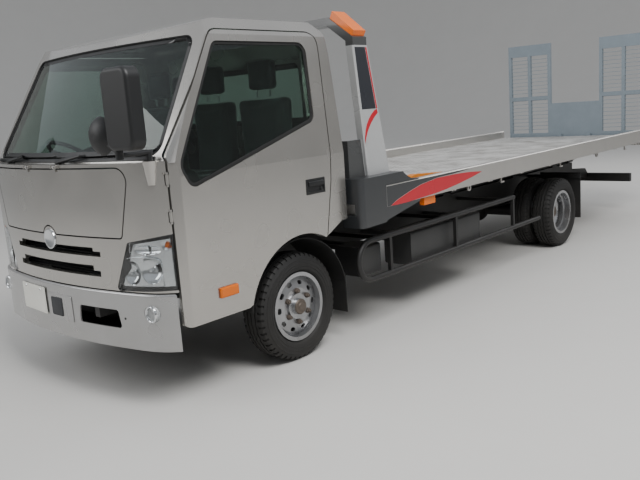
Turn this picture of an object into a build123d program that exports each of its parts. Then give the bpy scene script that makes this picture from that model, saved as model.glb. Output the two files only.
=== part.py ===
from build123d import *
from math import cos, radians, sin
import os

# A slide-bed car carrier: a cab-over truck with a sliding and tilting flat bed, a gantry
# and a ramp gate. Millimetres, +Z up. The truck faces -Y and its left side is +X. The
# origin lies on the ground under the middle of the truck. A station is a distance behind
# the front axle: sketches and blocks are placed by station.

os.makedirs("parts", exist_ok=True)

# Overall layout
FOREMOST = 1190             # front axle to the front of the mirrors
WHEELBASE = 3870
TAIL = 6650                 # front axle to the back of the ramps
FRONT_AXLE_Y = -(TAIL - FOREMOST) / 2
SEAT = 0.3                  # the gap where a piece rests on another
RUNNING = 0.8               # the radial gap round a pin, spindle or rod
PANEL_GAP = 8               # the gap along a door or lid edge

# Tyres, rims and axles
TYRE_RADIUS = 346.5
TYRE_WIDTH = 205
RIM_FLANGE_RADIUS = 220.5
BEAD_RADIUS = 203
RIM_WIDTH = 165
RIM_WALL = 7
DISC_WALL = 10
FRONT_TYRE_X = 835
KINGPIN_X = 735
REAR_OUTER_X = 902
TWIN_SPACING = 235
HUB_RADIUS = 82
HAND_HOLES = 10
HAND_HOLE_RADIUS = 17
HAND_HOLE_CIRCLE = 152
AXLE_TUBE_RADIUS = 62
SPINDLE_RADIUS = 34
BOSS_RADIUS = 34
STEER_ARM = 150

# Chassis frame
RAIL_OUT = 420
RAIL_IN = 350
RAIL_LOW = 500
RAIL_TOP = 680
RAIL_WEB = 9
FRAME_FRONT = -860
FRAME_REAR = 5500
HORN_TOP = 590
HORN_FRONT = -1100
CROSSMEMBERS = (-815, 1450, 2180, 3560, 4300, 5080)
CROSS_LOW = 565
CROSS_TOP = 655
CROSS_LONG = 80
SPRING_X = (352, 418)
SPRING_THICK = 26

# Cab
CAB_HALF = 992
CAB_BACK = 445
CAB_BOTTOM = 470
CAB_WALL = 40
DOOR_WALL = 60
GLASS_SET = 14              # how far the glass lies inside the outer skin
GLASS = 5
NOSE_FRONT = -1118          # the front panel on the centre line
NOSE_EDGE = (760, -1030)    # where the front panel meets its corner
NOSE_SIDE = -869            # where the corner runs out past the side
SKIRT_Z = 668               # the lower edge of the grille and headlights
COWL_Z = 1365
SCREEN_FOOT = -1050         # the windscreen on the centre line, at the cowl
SCREEN_EDGE = (915, -940)
SCREEN_SIDE = -861
SIDE_REACH = 8              # the plan runs this far past the sides, which the section cuts
RAKE = 0.60                 # the windscreen's run back for each unit of rise
ROOF_Z = 2165
WAIST_Z = 1280
ROOF_EDGE = (905, 2015)
ARCH_RADIUS = 470
LINER_RADIUS = 440
FLOOR_Z = 830
FLOOR_PLATE = 20
EAR_X = (372, 392)
DECK_Z = 1050               # the raised floor that carries the seats
CREST = (0, 930)            # the round rise in the middle of the grille: X and height
CREST_RADIUS = 75
RISER = -420                # the station where the floor steps up
TILT_PIN = (-980, 860)      # the cab's tilt axis: station and height
TILT_PIN_RADIUS = 16
DOOR_HINGE = (941, -929)    # X and station of the door pins
DOOR_HINGE_Z = (1075, 1270)
DOOR_PIN_RADIUS = 5
DOOR_EYE_RADIUS = 10
DOOR_EYE_HALF = 26          # half the height of a door's hinge eye
LID_HINGE = (-1120, 1352)   # the lid's axis: station and height
LID_HINGE_X = 160
LID_PIN_RADIUS = 5

# Bed
BED_HALF = 1095
BED_FRONT = 500
BED_REAR = 6540
DECK_TOP = 930
DECK_PLATE = 6
BED_RAIL_WIDTH = 62
BED_RAIL_TOP = 1025
BED_RAIL_LOW = 878
CROSSBAR_LOW = 856
CROSSBARS = 11
RUNNER_IN = 445
RUNNER_OUT = 505
RUNNER_LOW = 740
TILT_LOW = 700
TILT_TOP = 800
TILT_IN = 335
TILT_OUT = 430
TILT_FRONT = 950
SHOES = (1250, 2600, 3950, 5250)
BED_HINGE = (5420, 640)     # the tilt frame's axis: station and height
BED_HINGE_RADIUS = 20
RAM_FOOT = (4950, 420)      # the tilt rams stand almost upright, close ahead of the rear hinge
RAM_EYE = (4900, 770)
RAM_X = 200
RAM_RADIUS = 42
ROD_RADIUS = 27
RAM_PIN_RADIUS = 14
RAM_EYE_HALF = 24           # half the width of a ram's eye
RAM_EYE_RADIUS = 28
POST_FOOT = (690, 925)
POST_HEAD = (600, 745)
POST_HEAD_Z = 1965
POST_X = (938, 1000)
COVER_TOP = 1098
GATE_HINGE = (6590, 890)
GATE_HINGE_RADIUS = 14
GATE_TOP = 2200
GATE_THICK = 45
RAMP_X = (335, 955)


def side(x=0.0):
    """A plane seen from the truck's left: stations to the right, heights up."""
    return Plane(origin=(x, FRONT_AXLE_Y, 0), x_dir=(0, 1, 0), z_dir=(1, 0, 0))


def face(station=0.0):
    """An upright plane across the truck: X and heights, extruded forwards."""
    return Plane(origin=(0, FRONT_AXLE_Y + station, 0), x_dir=(1, 0, 0), z_dir=(0, -1, 0))


def plan(z=0.0):
    """A level plane: X and stations, extruded upwards."""
    return Plane(origin=(0, FRONT_AXLE_Y, z), x_dir=(1, 0, 0), z_dir=(0, 0, 1))


def block(x, station, z, mode=Mode.ADD):
    """A block between pairs of limits, in the piece being made."""
    with Locations((sum(x) / 2, FRONT_AXLE_Y + sum(station) / 2, sum(z) / 2)):
        Box(x[1] - x[0], station[1] - station[0], z[1] - z[0], mode=mode)


def bar(x, station, z, radius, mode=Mode.ADD):
    """A round bar across the truck between two values of X."""
    with Locations(Location((sum(x) / 2, FRONT_AXLE_Y + station, z), (0, 90, 0))):
        Cylinder(radius, x[1] - x[0], mode=mode)


def upright(x, station, z, radius, mode=Mode.ADD):
    """A round bar that stands between two heights."""
    with Locations((x, FRONT_AXLE_Y + station, sum(z) / 2)):
        Cylinder(radius, z[1] - z[0], mode=mode)


def plate(x, points, mode=Mode.ADD):
    """A plate between two values of X with an outline of stations and heights."""
    with BuildSketch(side(x[0])) as outline:
        with BuildLine():
            Polyline(*points, close=True)
        make_face()
    extrude(outline.sketch, amount=x[1] - x[0], mode=mode)


def save(name, builder):
    """Labels a finished piece and writes it."""
    builder.part.label = name
    export_step(builder.part, f"parts/{name}.step")


def save_pair(name, builder):
    """Writes a left-hand piece and its mirror image as two nodes."""
    save(f"{name}_left", builder)
    with BuildPart() as right:
        add(builder.part.mirror(Plane.YZ))
    save(f"{name}_right", right)


# The cab's form. Its shell, doors, lid, lamps and glass are cut from nested copies of it.

def front_outline(foot, edge, side_station, inset):
    """The cab in plan: a bowed front, two corners, straight sides and a straight back."""
    with BuildSketch(Plane.XY) as outline:
        with BuildLine():
            bow = ThreePointArc((-edge[0], edge[1]), (0, foot), edge)
            half = CAB_HALF + SIDE_REACH
            TangentArc(bow @ 1, (half, side_station), tangent=bow % 1)
            TangentArc(bow @ 0, (-half, side_station), tangent=-(bow % 0))
            back = CAB_BACK + 60
            Polyline((half, side_station), (half, back), (-half, back), (-half, side_station))
        make_face()
        if inset:
            offset(amount=-inset, kind=Kind.INTERSECTION, mode=Mode.REPLACE)
    return outline.sketch


def section_outline(low, inset):
    """The cab seen from the front: upright sides that lean in above the waist, and a crown."""
    with BuildSketch(Plane.XY) as outline:
        with BuildLine():
            crown_edge = (ROOF_EDGE[0] - 70, 2110)
            crown = ThreePointArc((-crown_edge[0], crown_edge[1]), (0, ROOF_Z), crown_edge)
            Polyline(
                crown @ 1, ROOF_EDGE, (CAB_HALF, WAIST_Z), (CAB_HALF - 8, low - 50),
                (-CAB_HALF + 8, low - 50), (-CAB_HALF, WAIST_Z),
                (-ROOF_EDGE[0], ROOF_EDGE[1]), crown @ 0,
            )
        make_face()
        if inset:
            offset(amount=-inset, kind=Kind.INTERSECTION, mode=Mode.REPLACE)
    return outline.sketch


def raked_front(inset, low=WAIST_Z):
    """The windscreen's part of the cab: its plan carried up and back along the rake."""
    drop = (COWL_Z - low) * RAKE
    with BuildPart() as raked:
        with BuildSketch(plan(low)):
            edge = (SCREEN_EDGE[0], SCREEN_EDGE[1] - drop)
            add(front_outline(SCREEN_FOOT - drop, edge, SCREEN_SIDE - drop, inset))
        rise = ROOF_Z + 100 - low
        extrude(amount=rise * (1 + RAKE ** 2) ** 0.5, dir=(0, RAKE, 1))
    return raked.part


def cab_form(inset):
    """The outside of the cab moved inwards by inset. A copy moved inwards is open below."""
    low = CAB_BOTTOM - (300 if inset else 0)
    with BuildPart() as form:
        with BuildSketch(plan(low - 20)):
            add(front_outline(NOSE_FRONT, NOSE_EDGE, NOSE_SIDE, inset))
        extrude(amount=COWL_Z - inset - low + 20)
        add(raked_front(inset, WAIST_Z if inset else COWL_Z - 10))
        with BuildSketch(side()):
            with BuildLine():
                roof = ThreePointArc((-760, 2010), (-300, 2138), (180, ROOF_Z - 6))
                Polyline(
                    roof @ 1, (330, 2140), (CAB_BACK - 15, 2050), (CAB_BACK, 1900),
                    (CAB_BACK, 845), (CAB_BACK - 60, 838), (200, 745), (-300, low),
                    (-1300, low), (-1300, 2010), roof @ 0,
                )
            make_face()
            if inset:
                offset(amount=-inset, kind=Kind.INTERSECTION, mode=Mode.REPLACE)
        extrude(amount=CAB_HALF + 100, both=True, mode=Mode.INTERSECT)
        with BuildSketch(face(CAB_BACK + 10)):
            add(section_outline(low, inset))
        extrude(amount=1800, mode=Mode.INTERSECT)
    return form.part


OUTER_FORM = cab_form(0)
WALL_FORM = cab_form(CAB_WALL)


def rounded(points, radii, plane, grow=0):
    """An outline with one corner radius for each of its points."""
    with BuildSketch(plane) as outline:
        with BuildLine():
            FilletPolyline(*points, radius=radii, close=True)
        make_face()
        if grow:
            offset(amount=grow, kind=Kind.INTERSECTION, mode=Mode.REPLACE)
    return outline.sketch


def door_outline(grow=0):
    """The left door from the side. The wheel arch is cut out of its lower edge."""
    points = (
        (-925, CAB_BOTTOM), (-480, CAB_BOTTOM), (232, 745), (300, 1120),
        (345, 1900), (345, 2040), (-515, 2040), (-925, 1378),
    )
    radii = (25, 20, 30, 300, 300, 80, 100, 90)
    return rounded(points, radii, side(), grow)


def window_outline(grow=0):
    """The door window: a level top and a sill that falls towards the front."""
    points = ((-815, 1205), (212, 1500), (238, 1978), (-512, 1978), (-880, 1330))
    return rounded(points, (60, 60, 70, 60, 90), side(), grow)


def screen_outline(grow=0):
    """The windscreen seen from the front."""
    points = ((-895, 1392), (895, 1392), (840, 2020), (-840, 2020))
    return rounded(points, (60, 60, 70, 70), face(), grow)


def back_window_outline(grow=0):
    points = ((-700, 1480), (700, 1480), (680, 1880), (-680, 1880))
    return rounded(points, (50, 50, 50, 50), face(CAB_BACK), grow)


def lid_outline(grow=0):
    """The front lid, wider at its top."""
    points = ((-650, 965), (650, 965), (745, 1338), (-745, 1338))
    return rounded(points, (20, 20, 70, 70), face(), grow)


def grille_outline(grow=0):
    points = ((-560, SKIRT_Z), (560, SKIRT_Z), (662, 957), (-662, 957))
    return rounded(points, (15, 15, 15, 15), face(), grow)


def lamp_outline(grow=0):
    """The left headlight from the front. It runs out past the side of the cab."""
    points = ((568, SKIRT_Z), (1100, SKIRT_Z + 20), (1100, 1012), (686, 940))
    return rounded(points, (20, 15, 15, 20), face(), grow)


def arch(radius, mode=Mode.SUBTRACT):
    """The round of the front wheel arch, through both sides."""
    with BuildSketch(side()) as circle:
        with Locations((0, TYRE_RADIUS)):
            Circle(radius)
    extrude(circle.sketch, amount=CAB_HALF + 50, both=True, mode=mode)


# Cab shell: roof, back, pillars and front corners, with every opening cut

LAMP_BACK = -935            # the headlights end where the doors begin
with BuildPart() as cab_shell:
    add(OUTER_FORM)
    add(WALL_FORM, mode=Mode.SUBTRACT)
    extrude(door_outline(PANEL_GAP), amount=CAB_HALF + 50, both=True, mode=Mode.SUBTRACT)
    arch(ARCH_RADIUS)
    block((-1100, 1100), (-1200, -150), (0, SKIRT_Z), Mode.SUBTRACT)
    extrude(screen_outline(), amount=1300, mode=Mode.SUBTRACT)
    extrude(lid_outline(PANEL_GAP), amount=1300, mode=Mode.SUBTRACT)
    extrude(grille_outline(), amount=1300, mode=Mode.SUBTRACT)
    extrude(back_window_outline(), amount=CAB_WALL + 10, both=True, mode=Mode.SUBTRACT)
    inside = CAB_HALF - CAB_WALL - 12
    under_deck = (600, DECK_Z - FLOOR_PLATE - SEAT)
    block((-inside, inside), (-300, CAB_BACK - CAB_WALL), under_deck, Mode.SUBTRACT)
    for lamp in (lamp_outline(SEAT), lamp_outline(SEAT).mirror(Plane.YZ)):
        extrude(lamp, amount=1300, mode=Mode.SUBTRACT)


def keep_largest(builder):
    """Drops the splinters that crossing outlines leave beside a panel."""
    largest = builder.part.solids().sort_by(SortBy.VOLUME)[-1]
    with BuildPart() as kept:
        add(largest)
    return kept


cab_shell = keep_largest(cab_shell)
MIRROR_FOOT = (874, -975)   # X and station of the boss that the mirror arm stands on
MIRROR_FOOT_TOP = COWL_Z + 6
EAR_THICK = 10
with BuildPart() as hinge_ears:
    for z in DOOR_HINGE_Z:
        for low in (z - DOOR_EYE_HALF - 2 - EAR_THICK, z + DOOR_EYE_HALF + 2):
            ear_z = (low, low + EAR_THICK)
            upright(*DOOR_HINGE, ear_z, DOOR_EYE_RADIUS)
            block((DOOR_HINGE[0] - 26, DOOR_HINGE[0]), (DOOR_HINGE[1] - 18, DOOR_HINGE[1]), ear_z)
        upright(*DOOR_HINGE, (z - DOOR_EYE_HALF - 4, z + DOOR_EYE_HALF + 4), DOOR_PIN_RADIUS)
    for low_x in (LID_HINGE_X - 32, LID_HINGE_X + 20):
        block((low_x, low_x + 12), (LID_HINGE[0] - 9, LID_HINGE[0] + 30), (LID_HINGE[1] - 8, COWL_Z - 2))
    bar((LID_HINGE_X - 30, LID_HINGE_X + 30), *LID_HINGE, LID_PIN_RADIUS)
    foot_middle = (MIRROR_FOOT[0], FRONT_AXLE_Y + MIRROR_FOOT[1], MIRROR_FOOT_TOP - 62)
    with Locations(foot_middle):
        Cone(bottom_radius=24, top_radius=42, height=124)
    mirror(about=Plane.YZ)
with BuildPart() as cab_shell_whole:
    add(cab_shell.part)
    for x in (DOOR_HINGE[0], -DOOR_HINGE[0]):
        for z in DOOR_HINGE_Z:
            eye_room = (z - DOOR_EYE_HALF - 2, z + DOOR_EYE_HALF + 2)
            upright(x, DOOR_HINGE[1], eye_room, DOOR_EYE_RADIUS + 4, Mode.SUBTRACT)
    for x in (LID_HINGE_X, -LID_HINGE_X):
        block((x - 14, x + 14), (LID_HINGE[0] - 10, LID_HINGE[0] + 16), (1330, COWL_Z - 1), Mode.SUBTRACT)
    add(hinge_ears.part)
save("cab_shell", cab_shell_whole)

# Cab floor: foot well, riser and seat deck, with the ears that hang on the tilt pins

FLOOR_HALF = CAB_HALF - DOOR_WALL - 27
TOE_BACK = -830             # where the level floor turns up into the toe board
BULKHEAD = (-919, -905)     # the wall between the lid and the foot well
BULKHEAD_Z = (905, 1305)
with BuildPart() as cab_floor:
    floor_back = CAB_BACK - CAB_WALL - SEAT
    step = RISER + FLOOR_PLATE
    plate((-FLOOR_HALF, FLOOR_HALF), (
        (BULKHEAD[0], BULKHEAD_Z[1]), (BULKHEAD[0], BULKHEAD_Z[0]), (TOE_BACK, FLOOR_Z), (step, FLOOR_Z),
        (step, DECK_Z - FLOOR_PLATE), (floor_back, DECK_Z - FLOOR_PLATE), (floor_back, DECK_Z),
        (RISER, DECK_Z), (RISER, FLOOR_Z + FLOOR_PLATE), (TOE_BACK + 10, FLOOR_Z + FLOOR_PLATE),
        (BULKHEAD[1], BULKHEAD_Z[0] + 16), (BULKHEAD[1], BULKHEAD_Z[1]),
    ))
    for x in (EAR_X, (-EAR_X[1], -EAR_X[0])):
        plate(x, (
            (TILT_PIN[0] - 30, TILT_PIN[1] - 26), (TILT_PIN[0] + 30, TILT_PIN[1] - 26),
            (TOE_BACK + 20, FLOOR_Z), (TOE_BACK, FLOOR_Z + 10),
            (BULKHEAD[0] + 4, BULKHEAD_Z[0] + 4), (TILT_PIN[0] - 30, TILT_PIN[1] + 26),
        ))
        bar(x, *TILT_PIN, TILT_PIN_RADIUS + RUNNING, Mode.SUBTRACT)
save("cab_floor", cab_floor)

# Glass

with BuildPart() as windscreen:
    add(raked_front(GLASS_SET))
    add(raked_front(GLASS_SET + GLASS), mode=Mode.SUBTRACT)
    extrude(screen_outline(-SEAT), amount=1300, mode=Mode.INTERSECT)
windscreen = keep_largest(windscreen)
with BuildPart() as cab_glass:
    add(windscreen.part)
    extrude(back_window_outline(-SEAT), amount=-GLASS)
save("cab_glass", cab_glass)

# Front lid and grille

LID_WALL = 26
with BuildPart() as service_lid:
    add(OUTER_FORM)
    add(cab_form(LID_WALL), mode=Mode.SUBTRACT)
    extrude(lid_outline(), amount=1300, mode=Mode.INTERSECT)
service_lid = keep_largest(service_lid)
with BuildPart() as service_lid_whole:
    add(service_lid.part)
    with BuildSketch(face()) as crest_gap:
        with Locations(CREST):
            Circle(CREST_RADIUS + PANEL_GAP)
    extrude(crest_gap.sketch, amount=1300, mode=Mode.SUBTRACT)
    for x in (LID_HINGE_X, -LID_HINGE_X):
        eye = (x - 10, x + 10)
        block(eye, (LID_HINGE[0] - 2, LID_HINGE[0] + 8), (1325, LID_HINGE[1]))
        bar(eye, *LID_HINGE, LID_PIN_RADIUS + 4)
        bar(eye, *LID_HINGE, LID_PIN_RADIUS + RUNNING, Mode.SUBTRACT)
save("service_lid", service_lid_whole)

SLOTS = (                   # half width and heights; each slot widens in a step towards its foot
    (410, (880, 902)), (470, (852, 881)), (400, (770, 800)), (455, (738, 771)),
)
with BuildPart() as grille:
    add(OUTER_FORM)
    add(WALL_FORM, mode=Mode.SUBTRACT)
    with BuildSketch(face()) as grille_face:
        add(grille_outline(-SEAT))
        with Locations(CREST):
            Circle(CREST_RADIUS)
    extrude(grille_face.sketch, amount=1300, mode=Mode.INTERSECT)
    for slot_half, slot_z in SLOTS:
        block((-slot_half, slot_half), (-1300, -900), slot_z, Mode.SUBTRACT)
grille = keep_largest(grille)
save("grille", grille)

# Headlights: deep blocks that fill the corners ahead of the doors

LAMP_DEPTH = 70
with BuildPart() as headlight:
    add(OUTER_FORM)
    add(cab_form(LAMP_DEPTH), mode=Mode.SUBTRACT)
    extrude(lamp_outline(), amount=1300, mode=Mode.INTERSECT)
    block((0, 1100), (LAMP_BACK, 600), (400, 2300), Mode.SUBTRACT)
headlight = keep_largest(headlight)
with BuildPart() as headlights:
    add(headlight.part)
    mirror(about=Plane.YZ)
save("headlights", headlights)

# Doors

with BuildPart() as door:
    add(OUTER_FORM)
    extrude(door_outline(), amount=CAB_HALF + 50, mode=Mode.INTERSECT)
    with BuildSketch(face(CAB_BACK + 10)) as inside:
        add(section_outline(0, DOOR_WALL))
    extrude(inside.sketch, amount=1800, mode=Mode.SUBTRACT)
    extrude(window_outline(), amount=CAB_HALF + 50, mode=Mode.SUBTRACT)
    arch(ARCH_RADIUS)
door = keep_largest(door)
HANDLE = ((78, 228), (1062, 1134))
HANDLE_DEPTH = 26
with BuildPart() as door_whole:
    add(door.part)
    pocket_points = (
        (HANDLE[0][0], HANDLE[1][0]), (HANDLE[0][1], HANDLE[1][0]),
        (HANDLE[0][1], HANDLE[1][1]), (HANDLE[0][0], HANDLE[1][1]),
    )
    pocket = rounded(pocket_points, (24, 24, 24, 24), side(CAB_HALF - HANDLE_DEPTH))
    extrude(pocket, amount=HANDLE_DEPTH + 10, mode=Mode.SUBTRACT)
    grip_z = sum(HANDLE[1]) / 2 + 8
    block(
        (CAB_HALF - 18, CAB_HALF - 6), (HANDLE[0][0] - 6, HANDLE[0][1] + 6), (grip_z - 13, grip_z + 13)
    )
    for z in DOOR_HINGE_Z:
        eye_z = (z - DOOR_EYE_HALF, z + DOOR_EYE_HALF)
        for low in (eye_z[0] - 4 - EAR_THICK, eye_z[1]):
            upright(*DOOR_HINGE, (low, low + EAR_THICK + 4), DOOR_EYE_RADIUS + 4, Mode.SUBTRACT)
        upright(*DOOR_HINGE, eye_z, DOOR_EYE_RADIUS)
        block((DOOR_HINGE[0] - 9, DOOR_HINGE[0] + 9), (DOOR_HINGE[1], DOOR_HINGE[1] + 14), eye_z)
        upright(*DOOR_HINGE, eye_z, DOOR_PIN_RADIUS + RUNNING, Mode.SUBTRACT)
save_pair("door", door_whole)

with BuildPart() as door_glass:
    with BuildSketch(face(CAB_BACK + 10)) as glass_outer:
        add(section_outline(0, GLASS_SET))
    extrude(glass_outer.sketch, amount=1800)
    with BuildSketch(face(CAB_BACK + 10)) as glass_inner:
        add(section_outline(0, GLASS_SET + GLASS))
    extrude(glass_inner.sketch, amount=1800, mode=Mode.SUBTRACT)
    extrude(window_outline(-SEAT), amount=CAB_HALF + 50, mode=Mode.INTERSECT)
door_glass = keep_largest(door_glass)
save_pair("door_glass", door_glass)

# Inside the cab

SEATS = (                   # middle of the seat, its width
    (-560, 480), (40, 420), (545, 480),
)
CUSHION = ((-360, 130), (DECK_Z + SEAT, DECK_Z + 150))
BACKREST = ((140, 270), (DECK_Z + SEAT, 1700))
HEADREST = ((150, 250), (1700 + SEAT, 1920))
with BuildPart() as seats:
    for middle, width in SEATS:
        cushion_x = (middle - width / 2, middle + width / 2)
        headrest_x = (middle - 125, middle + 125)
        block(cushion_x, *CUSHION)
        block(cushion_x, *BACKREST)
        block(headrest_x, *HEADREST)
save("seats", seats)

WHEEL_MIDDLE = (-545, -560, 1345)
WHEEL_LEAN = 38             # degrees that the steering wheel's axis leans from upright
STEERING_RADIUS = 205
COLUMN_RADIUS = 20
COLUMN_LONG = 300
steering_plane = Plane(
    origin=(WHEEL_MIDDLE[0], FRONT_AXLE_Y + WHEEL_MIDDLE[1], WHEEL_MIDDLE[2]),
    x_dir=(1, 0, 0), z_dir=(0, sin(radians(WHEEL_LEAN)), cos(radians(WHEEL_LEAN))),
)
with BuildPart() as steering_wheel:
    with Locations(steering_plane.location):
        Torus(STEERING_RADIUS, 14)
        Cylinder(55, 34)
        Cylinder(COLUMN_RADIUS, COLUMN_LONG, align=(Align.CENTER, Align.CENTER, Align.MAX))
        for turn in (90, 210, 330):
            with Locations(Location((0, 0, 0), (0, 0, turn))):
                Box(STEERING_RADIUS, 30, 14, align=(Align.MIN, Align.CENTER, Align.CENTER))
save("steering_wheel", steering_wheel)

DASH_HALF = 880
with BuildPart() as dashboard:
    plate((-DASH_HALF, DASH_HALF), (
        (BULKHEAD[1] + SEAT, 1010), (-700, 1040), (-640, 1200), (-700, 1290), (-860, 1335),
        (BULKHEAD[1] + SEAT, 1325),
    ))
    with Locations(steering_plane.location):
        Cylinder(COLUMN_RADIUS + RUNNING, 2 * COLUMN_LONG + 60, mode=Mode.SUBTRACT)
save("dashboard", dashboard)

# Mirrors: a tall head on an arm each side, and a round one that looks down, on the left

MIRROR_X = (830, 1060)
MIRROR_STATION = (-FOREMOST, -FOREMOST + 80)
MIRROR_Z = (1440, 1840)
MIRROR_ARM_Z = 1415
MIRROR_ARM_RADIUS = 12
DOWN_MIRROR = (716, 1515)   # the round mirror's middle: X and height
DOWN_MIRROR_RADIUS = 100
arm_station = sum(MIRROR_STATION) / 2
with BuildPart() as mirror_head:
    block(MIRROR_X, MIRROR_STATION, MIRROR_Z)
    fillet(mirror_head.edges().filter_by(Axis.Y), 55)
    fillet(mirror_head.faces().sort_by(Axis.Y)[0].edges(), 22)
with BuildPart() as mirror_pair:
    add(mirror_head.part)
    upright(*MIRROR_FOOT, (MIRROR_FOOT_TOP + SEAT, MIRROR_ARM_Z), MIRROR_ARM_RADIUS + 4)
    with BuildSketch(face(MIRROR_FOOT[1] + MIRROR_ARM_RADIUS)) as arm_section:
        with Locations((MIRROR_FOOT[0], MIRROR_ARM_Z)):
            Circle(MIRROR_ARM_RADIUS)
    extrude(arm_section.sketch, amount=MIRROR_FOOT[1] + MIRROR_ARM_RADIUS - arm_station + 8)
    upright(MIRROR_FOOT[0], arm_station, (MIRROR_ARM_Z - 20, MIRROR_Z[0] + 30), MIRROR_ARM_RADIUS + 8)
    mirror(about=Plane.YZ)
with BuildPart() as mirrors:
    add(mirror_pair.part)
    turned_axis = Axis((DOWN_MIRROR[0], FRONT_AXLE_Y + arm_station, DOWN_MIRROR[1]), (0, 1, 0))
    section_plane = Plane(
        origin=(DOWN_MIRROR[0], FRONT_AXLE_Y + arm_station, DOWN_MIRROR[1]),
        x_dir=(1, 0, 0), z_dir=(0, 0, 1),
    )
    with BuildSketch(section_plane) as dome:
        with BuildLine():
            bowl_middle = (DOWN_MIRROR_RADIUS * 0.72, -18)
            bowl = ThreePointArc((0, -38), bowl_middle, (DOWN_MIRROR_RADIUS, 14))
            Polyline(bowl @ 1, (DOWN_MIRROR_RADIUS - 6, 26), (0, 26), bowl @ 0)
        make_face()
    revolve(dome.sketch, axis=turned_axis)
    link = Plane(
        origin=(MIRROR_FOOT[0], FRONT_AXLE_Y + arm_station, MIRROR_ARM_Z), x_dir=(0, 1, 0),
        z_dir=(DOWN_MIRROR[0] - MIRROR_FOOT[0], 0, DOWN_MIRROR[1] - MIRROR_ARM_Z),
    )
    with BuildSketch(link) as link_section:
        Circle(8)
    reach = ((DOWN_MIRROR[0] - MIRROR_FOOT[0]) ** 2 + (DOWN_MIRROR[1] - MIRROR_ARM_Z) ** 2) ** 0.5
    extrude(link_section.sketch, amount=reach - 30)
save("mirrors", mirrors)

# Tyres and rims. Each is turned about an axis across the truck.

def across(x, station):
    """A plane for turning: distances from x along the axle, radii upwards from it."""
    return Plane(origin=(x, FRONT_AXLE_Y + station, TYRE_RADIUS), x_dir=(1, 0, 0), z_dir=(0, -1, 0))


def tyre(x, station):
    """A road tyre with rounded shoulders, bulged walls and open beads."""
    half = TYRE_WIDTH / 2
    with BuildPart() as ring:
        with BuildSketch(across(x, station)):
            with BuildLine():
                foot = RIM_WIDTH / 2 - 13
                low_wall = (half - 14, RIM_FLANGE_RADIUS + 14)
                Polyline(
                    (-half + 14, RIM_FLANGE_RADIUS + 14), (-foot, RIM_FLANGE_RADIUS + 2),
                    (-foot, BEAD_RADIUS + RUNNING), (foot, BEAD_RADIUS + RUNNING),
                    (foot, RIM_FLANGE_RADIUS + 2), low_wall,
                )
                wall = ThreePointArc(low_wall, (half, 278), (half - 16, 322))
                shoulder = ThreePointArc(wall @ 1, (half - 24, 335), (half - 38, 342))
                Polyline(shoulder @ 1, (0, TYRE_RADIUS), (-half + 38, 342))
                far_shoulder = ThreePointArc((-half + 38, 342), (-half + 24, 335), (-half + 16, 322))
                ThreePointArc(far_shoulder @ 1, (-half, 278), (-half + 14, RIM_FLANGE_RADIUS + 14))
            make_face()
        axle = Axis((0, FRONT_AXLE_Y + station, TYRE_RADIUS), (1, 0, 0))
        revolve(axis=axle)
    return ring.part


def rim(x, station, disc, bore):
    """A steel rim: a well with two flanges, a dished disc and its hand holes.

    disc lists offsets along the axle and radii, from the hub out to the well.
    """
    edge = RIM_WIDTH / 2
    well = BEAD_RADIUS - RIM_WALL
    with BuildPart() as wheel:
        with BuildSketch(across(x, station)):
            with BuildLine():
                Polyline(
                    (-edge, RIM_FLANGE_RADIUS), (-edge + 8, RIM_FLANGE_RADIUS), (-edge + 12, BEAD_RADIUS),
                    (-25, BEAD_RADIUS), (-15, BEAD_RADIUS - 16), (15, BEAD_RADIUS - 16), (25, BEAD_RADIUS),
                    (edge - 12, BEAD_RADIUS), (edge - 8, RIM_FLANGE_RADIUS), (edge, RIM_FLANGE_RADIUS),
                    (edge, well), (25, well), (17, well - 16), (-17, well - 16), (-25, well), (-edge, well),
                    close=True,
                )
            make_face()
        revolve(axis=Axis((0, FRONT_AXLE_Y + station, TYRE_RADIUS), (1, 0, 0)))
        with BuildSketch(across(x, station)):
            with BuildLine():
                inner = [(offset_x - DISC_WALL, radius) for offset_x, radius in reversed(disc)]
                Polyline(*disc, *inner, close=True)
            make_face()
        revolve(axis=Axis((0, FRONT_AXLE_Y + station, TYRE_RADIUS), (1, 0, 0)))
        spokes = Plane(
            origin=(x, FRONT_AXLE_Y + station, TYRE_RADIUS), x_dir=(0, 1, 0), z_dir=(1, 0, 0)
        )
        with BuildSketch(spokes) as holes:
            with PolarLocations(HAND_HOLE_CIRCLE, HAND_HOLES):
                SlotOverall(HAND_HOLE_RADIUS * 2.4, HAND_HOLE_RADIUS * 1.6, rotation=90)
        extrude(holes.sketch, amount=edge + 60, both=True, mode=Mode.SUBTRACT)
        with BuildSketch(spokes) as middle:
            Circle(bore)
        extrude(middle.sketch, amount=edge + 60, both=True, mode=Mode.SUBTRACT)
    return wheel.part


def ring(x, station, inner, outer):
    """A thick ring about an axle, between two values of X."""
    with BuildPart() as turned:
        with BuildSketch(Plane(
            origin=(x[0], FRONT_AXLE_Y + station, TYRE_RADIUS), x_dir=(0, 1, 0), z_dir=(1, 0, 0)
        )):
            Circle(outer)
            Circle(inner, mode=Mode.SUBTRACT)
        extrude(amount=x[1] - x[0])
    return turned.part


WELL = BEAD_RADIUS - RIM_WALL + 2
FRONT_DISC = ((58, HUB_RADIUS), (62, 118), (48, 172), (34, WELL))
FRONT_HUB_X = (790, 905)
SPINDLE_X = (790, 870)
with BuildPart() as front_rim:
    add(rim(FRONT_TYRE_X, 0, FRONT_DISC, HUB_RADIUS))
    add(ring(FRONT_HUB_X, 0, SPINDLE_RADIUS + RUNNING, HUB_RADIUS))
    bar((SPINDLE_X[1] + 5, FRONT_HUB_X[1] + 20), 0, TYRE_RADIUS, 52)
front_rim = keep_largest(front_rim)
save_pair("rim_front", front_rim)

with BuildPart() as front_tyre:
    add(tyre(FRONT_TYRE_X, 0))
save_pair("tyre_front", front_tyre)

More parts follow.
